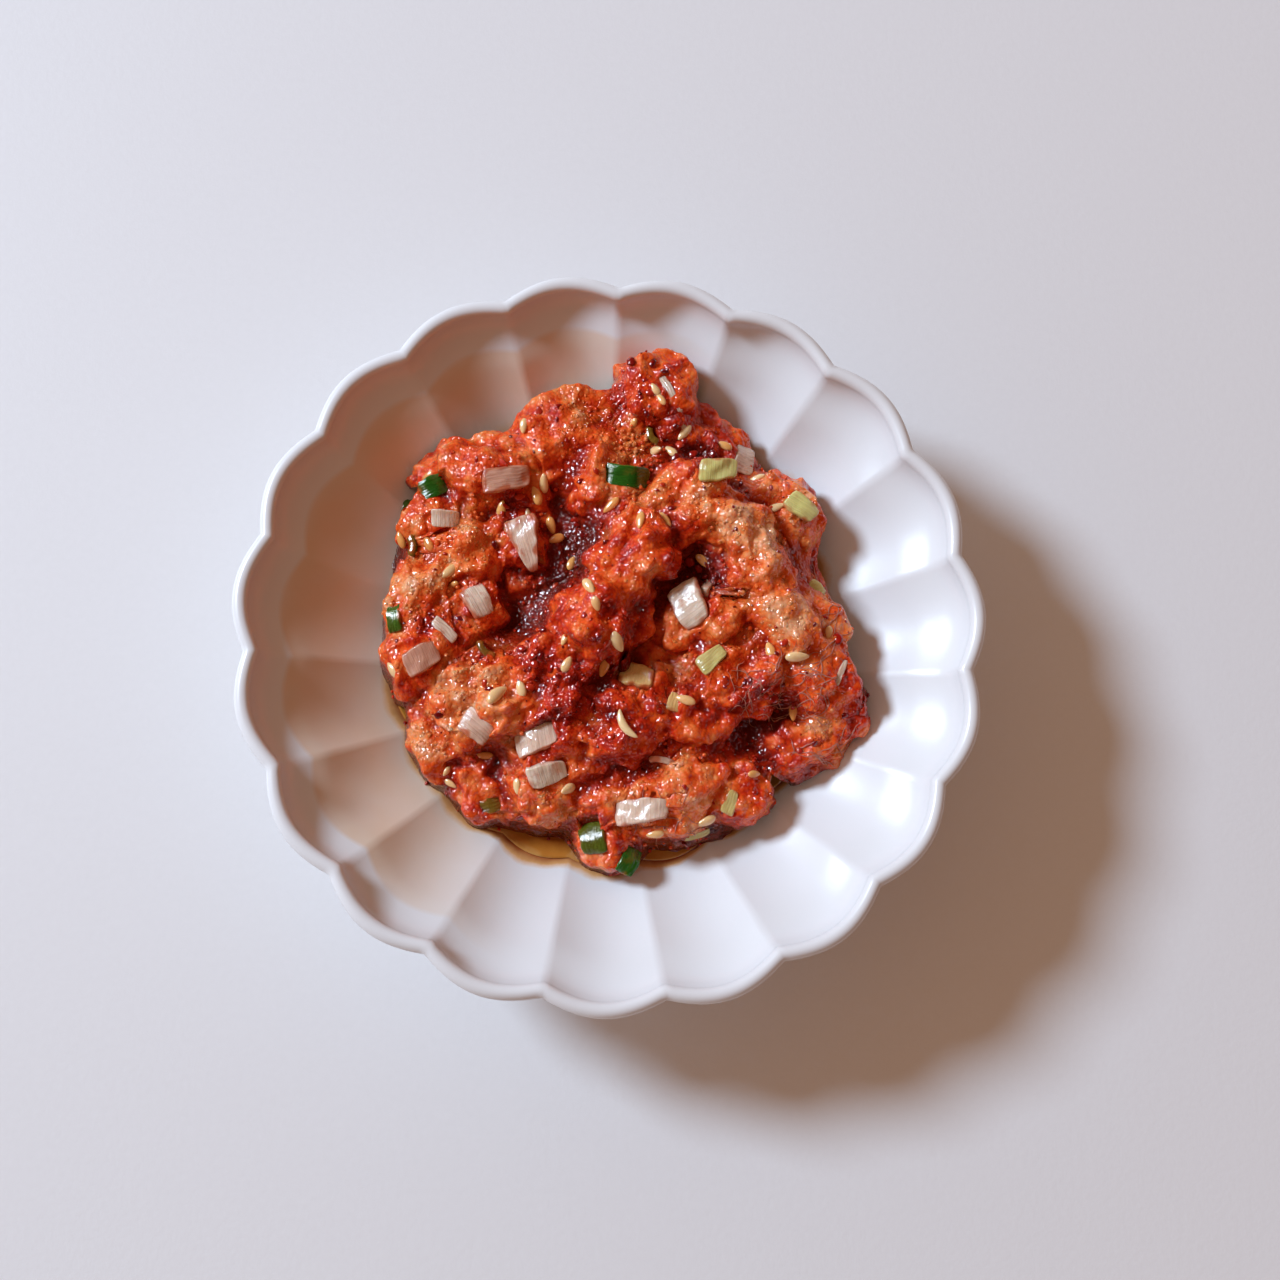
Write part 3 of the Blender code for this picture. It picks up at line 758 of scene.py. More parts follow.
def read_plan(grid, points):
    """The grid's value under each point, smooth between cells."""
    spot = np.clip((points[:, :2] + PLAN_REACH) / PLAN_CELL - 0.5, 0, len(grid) - 1.001)
    low = spot.astype(int)
    share = spot - low
    x, y = low[:, 0], low[:, 1]
    near = grid[y, x] * (1 - share[:, 0]) + grid[y, x + 1] * share[:, 0]
    far = grid[y + 1, x] * (1 - share[:, 0]) + grid[y + 1, x + 1] * share[:, 0]
    return near * (1 - share[:, 1]) + far * share[:, 1]


def relief_heights(points):
    """How high each point stands above its surroundings on the plan, in millimetres."""
    return points[:, 2] - read_plan(blurred(plan_of(points, SAUCE_HEIGHT + 3), 60), points)


def fill_folds(points):
    """How far paste fills each point of a narrow fold, apart from the few dark holes."""
    top = plan_of(points, SAUCE_HEIGHT - 2)
    closed = blurred(spread(spread(top, np.maximum, FOLD_CELLS), np.minimum, FOLD_CELLS), 4)
    level = read_plan(closed, points) - FOLD_DEPTH
    for x, y, reach, deeper in HOLES:
        away = np.hypot(points[:, 0] - x, points[:, 1] - y) / reach
        level -= deeper * np.exp(-away ** 2)
    level += 0.5 * noise_at(points, 3.0, 17.0)
    return np.maximum(level - points[:, 2], 0)


def slice_frames(heap_tree):
    """The frame of each slice: its origin is the top of the crown and +Z is up out of the roe."""
    frames = {}
    for name, x, y, yaw, _, _, thickness, *_ in SLICES + SHREDS:
        if name in frame["nodes"]:
            point, normal = drop(tree_of(bpy.data.objects[name]), x, y)
            frames[name] = stand(point, normal, math.radians(yaw), 0.0)
            continue
        point, normal = drop(heap_tree, x, y, 1.2)
        if point is None:
            point, normal = Vector((x, y, max(SAUCE_HEIGHT, float(wall_height(x, y))))), UP
        rise = Matrix.Translation((0, 0, SHRED_RAISE * thickness))
        frames[name] = stand(point, normal, math.radians(yaw)) @ rise
    return frames


def bed_slices(points, normals, frames):
    """Sinks the roe under each slice and heaps it against the slice's edges."""
    patchy = noise_at(points, 3.0, 13.0)
    for name, _, _, _, length, width, thickness, bend, *_ in SLICES + SHREDS:
        place = frames[name]
        local = moved(points, place.inverted())
        outer = length / math.radians(bend) + thickness / 2
        half = outer * math.sin(math.radians(bend) / 2)
        crown = np.sqrt(np.maximum(outer ** 2 - np.minimum(np.abs(local[:, 0]), half) ** 2, 0)) - outer
        away = np.maximum(np.abs(local[:, 0]) - half, np.abs(local[:, 1]) - width / 2)
        up = np.array(place.to_3x3().col[2])
        near = (away < BED_REACH) & (np.abs(local[:, 2] - crown) < BED_DEPTH) & (normals @ up > -0.1)
        under = np.clip(local[:, 2], crown - thickness - 0.4, crown - 0.8 * thickness)
        edge = crown - thickness * (0.30 - 0.9 * patchy)
        lap = -0.3 - 0.6 * np.maximum(patchy, 0)
        share = 1 - smoothstep(away, 0.2, BED_REACH + 0.2)
        beside = local[:, 2] + np.clip(share * (edge - local[:, 2]), 0, BED_COLLAR)
        outside = smoothstep(away, lap - 0.5, lap + 0.2)
        height = under * (1 - outside) + beside * outside
        change = np.where(near, height - local[:, 2], 0)
        points = points + change[:, None] * up
    return points


def build_heap(finish):
    sphere = shape_of(bmesh.ops.create_icosphere, subdivisions=LUMP_DETAIL, radius=1)
    shapes = [lump(row, key, sphere) for key, row in enumerate(LUMPS)]
    shapes.append(lump(CORE, CORE_KEY, sphere))
    points, faces, normals = remeshed("Roe core", shapes, HEAP_VOXEL, finish)
    filled = fill_folds(points)
    points[:, 2] += filled
    normals = normals + np.array([0, 0, 3.0]) * np.clip(filled, 0, 1)[:, None]
    normals /= np.linalg.norm(normals, axis=1)[:, None]
    relief = sum(tall * noise_at(points, size, shift) for tall, size, shift in RELIEF)
    points = points + normals * relief[:, None]
    frames = slice_frames(BVHTree.FromPolygons(points.tolist(), faces.tolist()))
    points = bed_slices(points, normals, frames)
    points[:, 2] = np.maximum(points[:, 2], wall_height(points[:, 0], points[:, 1]) - BURIED)
    height = relief_heights(points)
    tones = roe_tones(points, normals, height)
    heap = new_object("Roe heap", points, faces, finish, values=tones)
    bm = bmesh.new()
    bm.from_mesh(heap.data)
    cut = bmesh.ops.bisect_plane(bm, geom=bm.verts[:] + bm.edges[:] + bm.faces[:], dist=1e-7,
                                 plane_co=(0, 0, HEAP_CUT * MM), plane_no=(0, 0, -1), clear_outer=True)
    rim = [item for item in cut["geom_cut"] if isinstance(item, bmesh.types.BMEdge)]
    bmesh.ops.holes_fill(bm, edges=rim)
    bmesh.ops.triangulate(bm, faces=[face for face in bm.faces if len(face.verts) > 3])
    bm.to_mesh(heap.data)
    bm.free()
    heap.data.shade_smooth()
    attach(heap, "root")
    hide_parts("roe")
    return heap, frames


def build_heap_base(finish):
    """The part of the heap that the oil hides, down to the bowl's floor."""
    rows = [(AXIS_RADIUS, HEAP_CUT + GAP), (HEAP_FOOT_RADIUS - 1.0, HEAP_CUT + GAP)]
    rows += [off_inside(radius, GAP) for radius in (HEAP_FOOT_RADIUS - 0.6, 21, 14, 7)]
    rows += [(AXIS_RADIUS, FLOOR_HEIGHT + GAP)]
    columns = BASE_COLUMNS
    angles = np.arange(columns) * math.tau / columns
    points = [(r * math.cos(a), r * math.sin(a), z) for r, z in rows for a in angles]
    values = {"red": np.full(len(points), 0.6), "painted_shade": np.full(len(points), 0.3)}
    base = new_object("Roe heap base", points, ring_faces(len(rows), columns), finish, values)
    put_right(base)
    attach(base, "root")
    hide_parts("roe")
    return base


# ---------------- standing pieces on the roe

UP, DOWN = Vector((0, 0, 1)), Vector((0, 0, -1))
ABOVE = 100.0
DROPS_AROUND = 6
SAME_SURFACE = 2.5  # places further than this in height belong to another fold
UPRIGHT = 0.5
BED_REACH = 2.2
BED_DEPTH = 7.0
BED_COLLAR = 0.8  # the most that roe is heaped against a slice
SLICE_SKEW = 0.14  # how far a slice leans out of square
SLICE_GRID = (34, 26)
SLICE_ROUND = 0.10  # share of a slice over which its edge is rounded
SHRED_RAISE = 0.4  # share of a shred's thickness that stands out of the roe
# kind, material, colour, paler colour, how stained, how ribbed
SLICE_LOOKS = [
    ("green", "Scallion green", (0.012, 0.065, 0.006), (0.045, 0.19, 0.012), 0.25, 0.3),
    ("light green", "Scallion light green", (0.66, 0.58, 0.14), (0.80, 0.74, 0.36), 0.4, 0.35),
    ("white", "Scallion white", (0.90, 0.68, 0.50), (0.95, 0.83, 0.68), 0.75, 0.6),
    ("garlic", "Garlic", (0.82, 0.46, 0.13), (0.86, 0.62, 0.28), 0.8, 0.2),
]
# name, x, y, yaw, length, width, thickness, bend, far end, kind, how soaked, how brown, fibres run along
SLICES = [
    ("scallion_green_ridge", 2.5, 23.5, -5, 7.6, 3.4, 1.1, 100, 1.0, "green", 0.0, 0.0, 1),
    ("scallion_green_left", -26.5, 23, 25, 4.4, 3.4, 1.1, 90, 1.0, "green", 0.0, 0.0, 1),
    ("scallion_green_side", -32, 2.5, 95, 4.0, 2.2, 1.0, 70, 1.0, "green", 0.2, 0.1, 1),
    ("scallion_green_front", -2.7, -28.5, 100, 5.6, 4.0, 1.1, 120, 1.0, "green", 0.1, 0.2, 1),
    ("scallion_green_tip", 3.2, -32.2, 60, 4.4, 3.0, 1.1, 90, 1.0, "green", 0.0, 0.0, 1),
    ("scallion_light_green", 15.5, 24, 5, 5.6, 3.6, 2.0, 40, 0.8, "light green", 0.0, 0.0, 0),
    ("scallion_pale_sheet", 20.5, 28.5, 75, 4.6, 3.8, 0.9, 35, 0.9, "white", 0.15, 0.25, 0),
    ("scallion_yellow", 28.5, 20, -35, 4.8, 3.8, 1.5, 50, 0.7, "light green", 0.2, 0.0, 1),
    ("scallion_white_middle", 11, 4.5, -65, 6.6, 5.6, 1.6, 60, 0.8, "white", 0.35, 0.1, 0),
    ("scallion_pale_right", 14.6, -3.4, 40, 4.6, 3.2, 1.5, 40, 0.7, "light green", 0.15, 0.2, 1),
    ("garlic_middle", 3.6, -5.6, -20, 5.2, 4.4, 2.2, 20, 0.7, "garlic", 0.5, 0.2, 0),
    ("scallion_white_front", -11, -15.2, 20, 6.4, 4.0, 1.5, 55, 0.9, "white", 0.3, 0.3, 0),
    ("scallion_glossy_front", -9, -20.4, 15, 5.8, 3.6, 1.6, 45, 0.8, "white", 0.2, 0.0, 0),
    ("scallion_white_low", 4.3, -25.4, 5, 8.0, 4.0, 1.5, 60, 0.8, "white", 0.35, 0.25, 0),
    ("scallion_pink_left", -19.5, -13.6, -40, 4.8, 4.0, 1.4, 60, 0.8, "white", 0.35, 0.4, 1),
    ("scallion_grey_left", -19.5, 5.2, -60, 4.6, 4.2, 1.4, 60, 0.8, "white", 0.35, 0.1, 1),
    ("scallion_grey_upper", -24.5, 17.8, -5, 4.4, 2.8, 1.2, 60, 0.9, "white", 0.1, 0.1, 0),
    ("scallion_red_upper", -15.5, 23, 10, 7.2, 3.8, 1.4, 50, 0.9, "white", 0.75, 0.75, 1),
    ("scallion_leaf", -12.7, 13.8, -75, 8.6, 5.4, 1.4, 50, 0.3, "white", 0.7, 0.3, 1),
    ("scallion_brown_left", -27.5, -3.6, 30, 5.4, 4.2, 1.4, 55, 0.8, "white", 0.3, 0.8, 0),
]
# Smaller shreds that have no solid of their own, in the same columns.
SHREDS = [("scallion shred " + name, *row) for name, *row in [
    ("middle", 14.6, 7.6, 5, 4.2, 2.0, 1.2, 50, 0.8, "white", 0.05, 0.0, 1),
    ("green left", -31, 21.5, 60, 3.3, 2.4, 1.0, 100, 1.0, "green", 0.1, 0.1, 1),
    ("green low left", -29.3, 14.3, 95, 3.4, 2.0, 1.0, 80, 1.0, "green", 0.1, 0.0, 1),
    ("green inner", -18.7, -2.1, 80, 3.6, 2.2, 1.0, 80, 1.0, "green", 0.3, 0.5, 1),
    ("green foot", -17.5, -24.4, 20, 3.4, 2.4, 1.0, 80, 1.0, "green", 0.3, 0.5, 1),
    ("green top", 5.7, 30.5, 80, 3.0, 1.9, 1.0, 80, 1.0, "green", 0.1, 0.5, 1),
    ("grey", -24.4, 0.8, -42, 4.4, 1.8, 1.2, 30, 0.9, "white", 0.1, 0.2, 1),
    ("right", 31.2, 8, -40, 3.4, 2.2, 1.0, 40, 0.3, "light green", 0.2, 0.2, 0),
    ("edge", 33.8, -5, 65, 4.2, 1.2, 1.0, 30, 0.5, "white", 0.1, 0.3, 1),
    ("peak", 8.8, 37, -62, 6.6, 1.3, 0.9, 60, 0.8, "white", 0.45, 0.2, 1),
    ("peak low", 10.2, 33.4, -65, 4.8, 1.1, 0.9, 50, 0.8, "white", 0.7, 0.4, 1),
    ("low right", 17.6, -24, 70, 3.6, 2.2, 1.0, 40, 0.7, "light green", 0.4, 0.3, 1),
    ("foot right", 13, -28.2, 10, 4.2, 1.6, 1.0, 50, 0.6, "light green", 0.3, 0.1, 1),
    ("wedge", 9.1, -9.7, 80, 2.8, 2.2, 1.0, 30, 0.6, "garlic", 0.2, 0.2, 1),
    ("leaf bit", -13.6, 15.6, -60, 2.6, 1.8, 1.1, 40, 0.7, "light green", 0.1, 0.0, 0),
    ("front right", 8, -18, 12, 4.6, 1.4, 0.9, 40, 0.5, "white", 0.5, 0.4, 1),
]]
# Sesame seeds: x, y, yaw, size, how brown.
SEEDS = [
    (-3.4, 5.9, -52, 0.89, 0.20), (-2.5, 3.1, -72, 0.72, 0.30), (0.6, -1.9, -62, 0.98, 0.10),
    (13.6, 11.5, -45, 0.80, 0.60), (23.4, -2.0, -75, 0.90, 0.50), (27.2, -3.0, 3, 1.04, 0.10),
    (10.8, -9.5, -18, 0.88, 0.30), (27.2, -10.3, 88, 0.78, 0.70), (24.6, 19.9, 20, 0.80, 0.10),
    (22.1, 25.6, -25, 0.88, 0.10), (-0.1, 19.3, 42, 0.88, 0.60), (4.0, 16.1, 85, 0.80, 0.50),
    (7.7, 16.8, -80, 0.86, 0.45), (-6.5, -5.1, 62, 0.80, 0.20), (-6.9, -1.4, 70, 0.60, 0.30),
    (-1.2, -5.1, 88, 0.86, 0.70), (5.1, -7.5, -30, 0.60, 0.80), (-5.9, 11.6, 70, 0.70, 0.50),
    (32.2, 1.0, 80, 0.65, 0.20), (-10.2, 23.2, -78, 0.90, 0.20), (-11.2, 21.3, -75, 0.96, 0.50),
    (-9.0, 17.3, -72, 0.84, 0.60), (-8.2, 15.3, 20, 0.80, 0.80), (-16.4, 19.5, 80, 0.84, 0.50),
    (-15.5, 16.6, 85, 0.62, 0.30), (-12.3, 18.2, -70, 0.80, 0.10), (-31.4, 15.3, -75, 0.80, 0.60),
    (-27.4, 14.5, -60, 0.88, 0.80), (-24.0, 9.6, 42, 0.90, 0.20), (-23.4, 8.0, 60, 0.62, 0.50),
    (-31.8, -5.0, -55, 0.86, 0.10), (-16.6, -9.2, 45, 1.08, 0.15), (-13.1, -8.1, -75, 0.88, 0.10),
    (-13.2, 31.6, 85, 0.70, 0.20), (3.1, 32.3, 60, 0.64, 0.50), (-27.5, 24.7, 30, 0.76, 0.70),
    (6.4, 37.2, -55, 0.68, 0.20), (7.2, 35.8, -60, 0.68, 0.35), (10.9, 31.5, 50, 0.84, 0.05),
    (6.2, 28.5, -15, 0.98, 0.15), (8.9, 28.4, -45, 0.74, 0.15), (17.2, 30.1, -25, 0.70, 0.50),
    (-23.4, -21.0, -30, 0.66, 0.20), (-24.0, -19.4, 60, 0.50, 0.20), (-13.5, -21.9, 85, 0.72, 0.10),
    (-18.4, -17.1, -8, 0.76, 0.70), (6.6, -28.6, 10, 0.76, 0.30), (14.1, -26.6, 25, 0.90, 0.20),
    (21.1, -19.8, 5, 0.62, 0.50), (-6.2, -22.2, 22, 0.85, 0.15),
]
CURVED_SLIVER = (1.8, -13.8, -58, 4.9)  # x, y, yaw, length
SLIVER_HALF_WIDTH, SLIVER_HALF_HEIGHT = 0.62, 0.5
SLIVER_BOW = 0.75
SLIVER_LIFT = 0.75
SEED_SIZE = (3.4, 1.9, 1.3)
SCATTER_RADIUS = 37
SCATTER_MIDDLE = 2
FLAKES = 700
FLAKE_RANGE = (0.35, 1.7)
FLAKES_BY_RED = 0.55
EGGS = 2300
EGG_RANGE = (0.45, 0.74)
EGG_LIFT = (-0.45, -0.12)  # of its size, from the surface to its middle
EGGS_BY_PALE = 0.5


def tree_of(obj):
    """A tree for finding the surface under a point, in millimetres."""
    points, faces, _ = arrays_of(obj)
    return BVHTree.FromPolygons(points.tolist(), faces.tolist())


def drop(tree, x, y, around=0.0):
    """Where a vertical line meets the surface, with the normal, averaged over nearby places."""
    point, normal, _, _ = tree.ray_cast(Vector((x, y, ABOVE)), DOWN)
    if point is None:
        return None, None
    total = normal.copy()
    for step in range(DROPS_AROUND if around else 0):
        turn = step * math.tau / DROPS_AROUND
        place = Vector((x + around * math.cos(turn), y + around * math.sin(turn), ABOVE))
        near, slope, _, _ = tree.ray_cast(place, DOWN)
        if near is not None and abs(near.z - point.z) < SAME_SURFACE:
            total += slope
    return point, total.normalized()


def stand(point, normal, yaw, upright=UPRIGHT):
    """A frame on the surface: +Z leans with the slope, +X follows the yaw."""
    up = normal.lerp(UP, upright).normalized()
    along = Vector((math.cos(yaw), math.sin(yaw), 0))
    along = (along - up * along.dot(up)).normalized()
    frame = Matrix((along, up.cross(along), up)).transposed().to_4x4()
    return Matrix.Translation(point) @ frame


def moved(points, frame):
    frame = np.array(frame)
    return points @ frame[:3, :3].T + frame[:3, 3]


def slice_shape(length, width, thickness, bend, far_end, along, key):
    """A bent strip with rounded edges and fine ribs down its fibres."""
    across, deep = SLICE_GRID
    radius = length / math.radians(bend)
    u = np.linspace(-1, 1, across)
    v = np.linspace(-1, 1, deep)
    points, fibre, rim = [], [], []
    wave = Vector((key * 3.7, key * 1.9, 0))
    skew = SLICE_SKEW * (1 if key % 2 else -1) * (0.4 + 0.3 * (key % 3))

    def place(share_u, share_v, height):
        half = width * (1 + (far_end - 1) * (share_u + 1) / 2) / 2
        x = share_u * length / 2 * (1 - 0.10 * share_v ** 4)
        y = share_v * half * (1 - 0.12 * share_u ** 4)
        lift = 0.16 * thickness * noise.noise(Vector((x * 0.6, y * 0.6, 0)) + wave)
        rib_way = (y if along else x)
        rib = 0.02 * math.sin(rib_way * 13 + 2.2 * noise.noise(Vector((x * 0.5, y * 0.5, 3)) + wave) * 3)
        edge = 0.6 * noise.noise(Vector((share_u * 1.7, share_v * 1.7, 7)) + wave)
        slant = skew * share_v * half
        away = radius + height * thickness / 2 + lift + (rib if height > 0 else 0)
        angle = (x * (1 + 0.06 * edge) + slant) / radius
        points.append((away * math.sin(angle), y * (1 + 0.25 * edge), away * math.cos(angle) - radius))
        fibre.append(((y, x, height) if along else (x, y, height)))
        rim.append(max(abs(share_u), abs(share_v)) + 0.55 * noise.noise(Vector((x * 0.7, y * 0.7, 5)) + wave))

    for sign in (1, -1):
        for a in u:
            for b in v:
                near = max(abs(a), abs(b))
                full = math.sqrt(max(0, 1 - max(0, (near - (1 - SLICE_ROUND)) / SLICE_ROUND) ** 2))
                place(a, b, sign * (0.35 + 0.65 * full))
    count = across * deep
    faces = []
    for i in range(across - 1):
        for j in range(deep - 1):
            a, b, c, d = (i * deep + j, (i + 1) * deep + j, (i + 1) * deep + j + 1, i * deep + j + 1)
            faces += [(a, b, c), (a, c, d)]
            faces += [(count + a, count + c, count + b), (count + a, count + d, count + c)]
    border = [i * deep for i in range(across)] + [(across - 1) * deep + j for j in range(1, deep)]
    border += [i * deep + deep - 1 for i in range(across - 2, -1, -1)] + [j for j in range(deep - 2, 0, -1)]
    for here, there in zip(border, border[1:] + border[:1]):
        faces += [(here, count + here, count + there), (here, count + there, there)]
    values = {"fibre": np.array(fibre) * MM, "rim": np.array(rim)}
    return np.array(points), np.array(faces), values


def set_slice(place, row, key, finishes):
    name, _, _, _, length, width, thickness, bend, far_end, kind, soak, brown, along = row
    shape, faces, values = slice_shape(length, width, thickness, bend, far_end, along, key)
    shape[:, 2] -= thickness / 2
    shape = moved(shape, place)
    rim = smoothstep(values.pop("rim"), 0.95 - 0.65 * soak, 1.35 - 0.55 * soak)
    values["stain"] = np.clip(np.maximum(0.9 * rim, 0.75 * brown), 0, 1)
    fine = name in frame["nodes"]
    obj = new_object(name + (" fine" if fine else ""), shape, faces, finishes[kind], values)
    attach(obj, "root")
    if fine:
        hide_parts(name)
    return obj


def seed_shape(detail):
    """A teardrop seed of SEED_SIZE, from its point to its round end."""
    points, faces = shape_of(bmesh.ops.create_icosphere, subdivisions=detail, radius=1)
    share = (points[:, 0] + 1) / 2
    fat = 1.0 - 0.38 * (1 - share) ** 1.6
    length, width, height = SEED_SIZE
    shaped = [points[:, 0] * length / 2, points[:, 1] * width / 2 * fat, points[:, 2] * height / 2 * fat]
    return np.stack(shaped, -1), faces


def scattered(name, shapes, finish):
    """One kind of small thing as one mesh."""
    points, faces, values = joined(shapes)
    return new_object(name, points, faces, finish, values)


def build_seeds(tree, finish, rng):
    base, faces = seed_shape(3)
    shapes = []
    for x, y, yaw, size, tone in SEEDS:
        point, normal = drop(tree, x, y, 0.8)
        if point is None:
            continue
        bend = 1 + 0.08 * rng.uniform(-1, 1)
        points = base * np.array([size * bend, size * (2 - bend) * rng.uniform(0.92, 1.06), size])
        points[:, 1] += 0.05 * size * points[:, 0] ** 2 * rng.uniform(-1, 1)
        spot = stand(point, normal, math.radians(yaw) + math.pi * (rng.random() < 0.5), 0.25)
        spot = spot @ Matrix.Translation((0, 0, 0.20 * size)) @ Euler(
            (rng.uniform(-0.3, 0.3), rng.uniform(-0.25, 0.25), 0)).to_matrix().to_4x4()
        shapes.append((moved(points, spot), faces, {"tone": tone}))
    seeds = scattered("Sesame seeds", shapes, finish)
    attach(seeds, "root")
    return seeds


def build_sliver(tree, finish):
    """A long curved cream sliver that lies in front of the ridge."""
    x, y, yaw, length = CURVED_SLIVER
    point, normal = drop(tree, x, y, 1.5)
    base, faces = shape_of(bmesh.ops.create_icosphere, subdivisions=4, radius=1)
    along = base[:, 0]
    bow = base[:, 1] * SLIVER_HALF_WIDTH + SLIVER_BOW * along ** 2
    points = np.stack([along * length / 2, bow, base[:, 2] * SLIVER_HALF_HEIGHT + SLIVER_LIFT], -1)
    points = moved(points, stand(point, normal, math.radians(yaw), 0.3))
    obj = new_object("Cream sliver", points, faces, finish, {"tone": np.full(len(points), 0.0)})
    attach(obj, "root")
    return obj


def random_spot(rng, spots, share):
    """A place on the heap, near one of the spots for this share of the draws."""
    if rng.random() < share:
        x, y, reach, _ = spots[rng.randrange(len(spots))]
        return x + rng.gauss(0, reach * 0.45), y + rng.gauss(0, reach * 0.45)
    radius = SCATTER_RADIUS * math.sqrt(rng.random())
    turn = rng.uniform(0, math.tau)
    return SCATTER_MIDDLE + radius * math.cos(turn), SCATTER_MIDDLE + radius * math.sin(turn)


def build_flakes(tree, finish, rng):
    base, faces = shape_of(bmesh.ops.create_icosphere, subdivisions=2, radius=0.5)
    shapes = []
    for key in range(FLAKES):
        x, y = random_spot(rng, RED_SPOTS, FLAKES_BY_RED)
        point, normal = drop(tree, x, y, 0.5)
        least, most = FLAKE_RANGE
        size = least + (most - least) * rng.random() ** 3
        yaw = rng.uniform(0, math.tau)
        thin = rng.uniform(0.25, 0.5)
        wide = rng.uniform(0.5, 0.95)
        tone = rng.random()
        tilt = (rng.uniform(-0.5, 0.5), rng.uniform(-0.5, 0.5), 0)
        if point is None or point.z < SAUCE_HEIGHT:
            continue
        offset = Vector((key, 0, 0))
        swell = np.array([1 + 0.55 * noise.noise(Vector(way) * 2.6 + offset) for way in base.tolist()])
        points = base * swell[:, None] * np.array([size, size * wide, size * thin])
        spot = stand(point, normal, yaw, 0.0) @ Matrix.Translation((0, 0, 0.10 * size))
        points = moved(points, spot @ Euler(tilt).to_matrix().to_4x4())
        shapes.append((points, faces, {"tone": tone}))
    flakes = scattered("Chilli flakes", shapes, finish)
    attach(flakes, "root")
    return flakes


def build_eggs(heap, tree, finish, rng):
    """Loose eggs of roe that stand out of the surface, mostly on its pale crowns."""
    base, faces = shape_of(bmesh.ops.create_icosphere, subdivisions=2, radius=0.5)
    polygons = heap.data.polygons
    reds = heap.data.attributes["red"].data
    shapes = []
    for _ in range(EGGS):
        x, y = random_spot(rng, PALE_SPOTS, EGGS_BY_PALE)
        point, normal = drop(tree, x, y)
        size = rng.uniform(*EGG_RANGE)
        lift = rng.uniform(*EGG_LIFT)
        paler = rng.uniform(-0.05, 0.15)
        if point is None or point.z < SAUCE_HEIGHT - 0.5:
            continue
        face = tree.find_nearest(point)[2]
        red = max(0.0, reds[polygons[face].vertices[0]].value - paler)
        centre = point + normal * lift * size
        shapes.append((base * size + np.array(centre), faces, {"red": red, "painted_shade": 0.0}))
    eggs = scattered("Loose roe eggs", shapes, finish)
    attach(eggs, "root")
    return eggs


# ---------------- the oil


OIL_INNER = 18.0  # radius where the pool ends inside the heap
OIL_UNDER = 2.2
OIL_DEEPEST = 4.5
OIL_STEPS = 14
SHORE = radius_at(SAUCE_HEIGHT)
# How far inside the shore and how high the oil stands there as it climbs the porcelain.
OIL_CLIMB = [(0.9, 0.04), (0.5, 0.12), (0.15, 0.24), (-0.15, 0.34)]


def build_sauce(finish):
    """The pool of oil, with a lip where it climbs the porcelain."""
    columns = LOBES * OIL_STEPS
    angles = FIRST_RIDGE + np.arange(columns) * math.tau / columns

    def ring(radius):
        reach = radius + pressed(radius, angles)
        return reach * np.cos(angles), reach * np.sin(angles)

    rows = [(radius, 0.0) for radius in np.linspace(OIL_INNER, SHORE - 1.4, 12)]
    rows += [(SHORE - back, climb) for back, climb in OIL_CLIMB]
    top, under = [], []
    for radius, climb in rows:
        x, y = ring(radius)
        z = np.full(columns, SAUCE_HEIGHT + climb)
        z = np.where(radius > SHORE - 1.0, np.maximum(z, wall_height(x, y) + 0.03), z)
        top.append(np.stack([x, y, z], -1))
    for radius in (SHORE + 0.2, SHORE - 2, radius_at(SAUCE_HEIGHT - OIL_UNDER)):
        x, y = ring(radius)
        under.append(np.stack([x, y, wall_height(x, y) - 0.1], -1))
    x, y = OIL_INNER * np.cos(angles), OIL_INNER * np.sin(angles)
    under.append(np.stack([x, y, np.full(columns, SAUCE_HEIGHT - OIL_UNDER)], -1))
    points = np.concatenate(top + under)
    rings = len(top) + len(under)
    faces = ring_faces(rings, columns) + last_to_first(rings, columns)
    deep = (points[:, 2] - wall_height(points[:, 0], points[:, 1])) / OIL_DEEPEST
    sauce = new_object("Chilli oil pool", points, faces, finish, {"depth": np.clip(deep, 0, 1)})
    put_right(sauce)
    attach(sauce, "root")
    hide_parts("sauce")
    return sauce


# ---------------- membrane


# Middle x and y, reach along x and y, how many.
STRAND_PATCHES = [(24, -8, 7, 3.5, 60), (33, 4, 3, 7, 30), (7, -27, 6, 2, 16), (30, -16, 4, 2, 14)]
STRAND_STEPS = 14
STRAND_SIDES = 5


def strand_path(tree, x, y, rng):
    """A wandering line on the heap from this place."""
    way = rng.uniform(-0.6, 1.1)
    stride = rng.uniform(0.22, 0.42)
    thick = rng.uniform(0.05, 0.11)
    path = []
    for _ in range(STRAND_STEPS):
        point, normal = drop(tree, x, y)
        if point is None:
            break
        path.append(point + normal * 0.08)
        way += rng.uniform(-0.5, 0.5)
        x += stride * math.cos(way)
        y += stride * math.sin(way)
    return path, thick


def thread(path, thick):
    """A closed tube along a path that thins out at both ends."""
    sides = STRAND_SIDES
    points, faces = [], []
    for index, place in enumerate(path):
        ahead = path[min(index + 1, len(path) - 1)] - path[max(index - 1, 0)]
        side = ahead.cross(UP).normalized()
        up = side.cross(ahead).normalized()
        taper = thick * math.sin(math.pi * (index + 0.6) / (len(path) + 0.2))
        for corner in range(sides):
            turn = corner * math.tau / sides
            points.append((place + (side * math.cos(turn) + up * math.sin(turn)) * taper)[:])
    for a, b, c, d in ring_faces(len(path), sides):
        faces += [(a, b, c), (a, c, d)]
    start = (len(path) - 1) * sides
    for corner in range(1, sides - 1):
        faces += [(0, corner + 1, corner), (start, start + corner, start + corner + 1)]
    return np.array(points), np.array(faces), {}


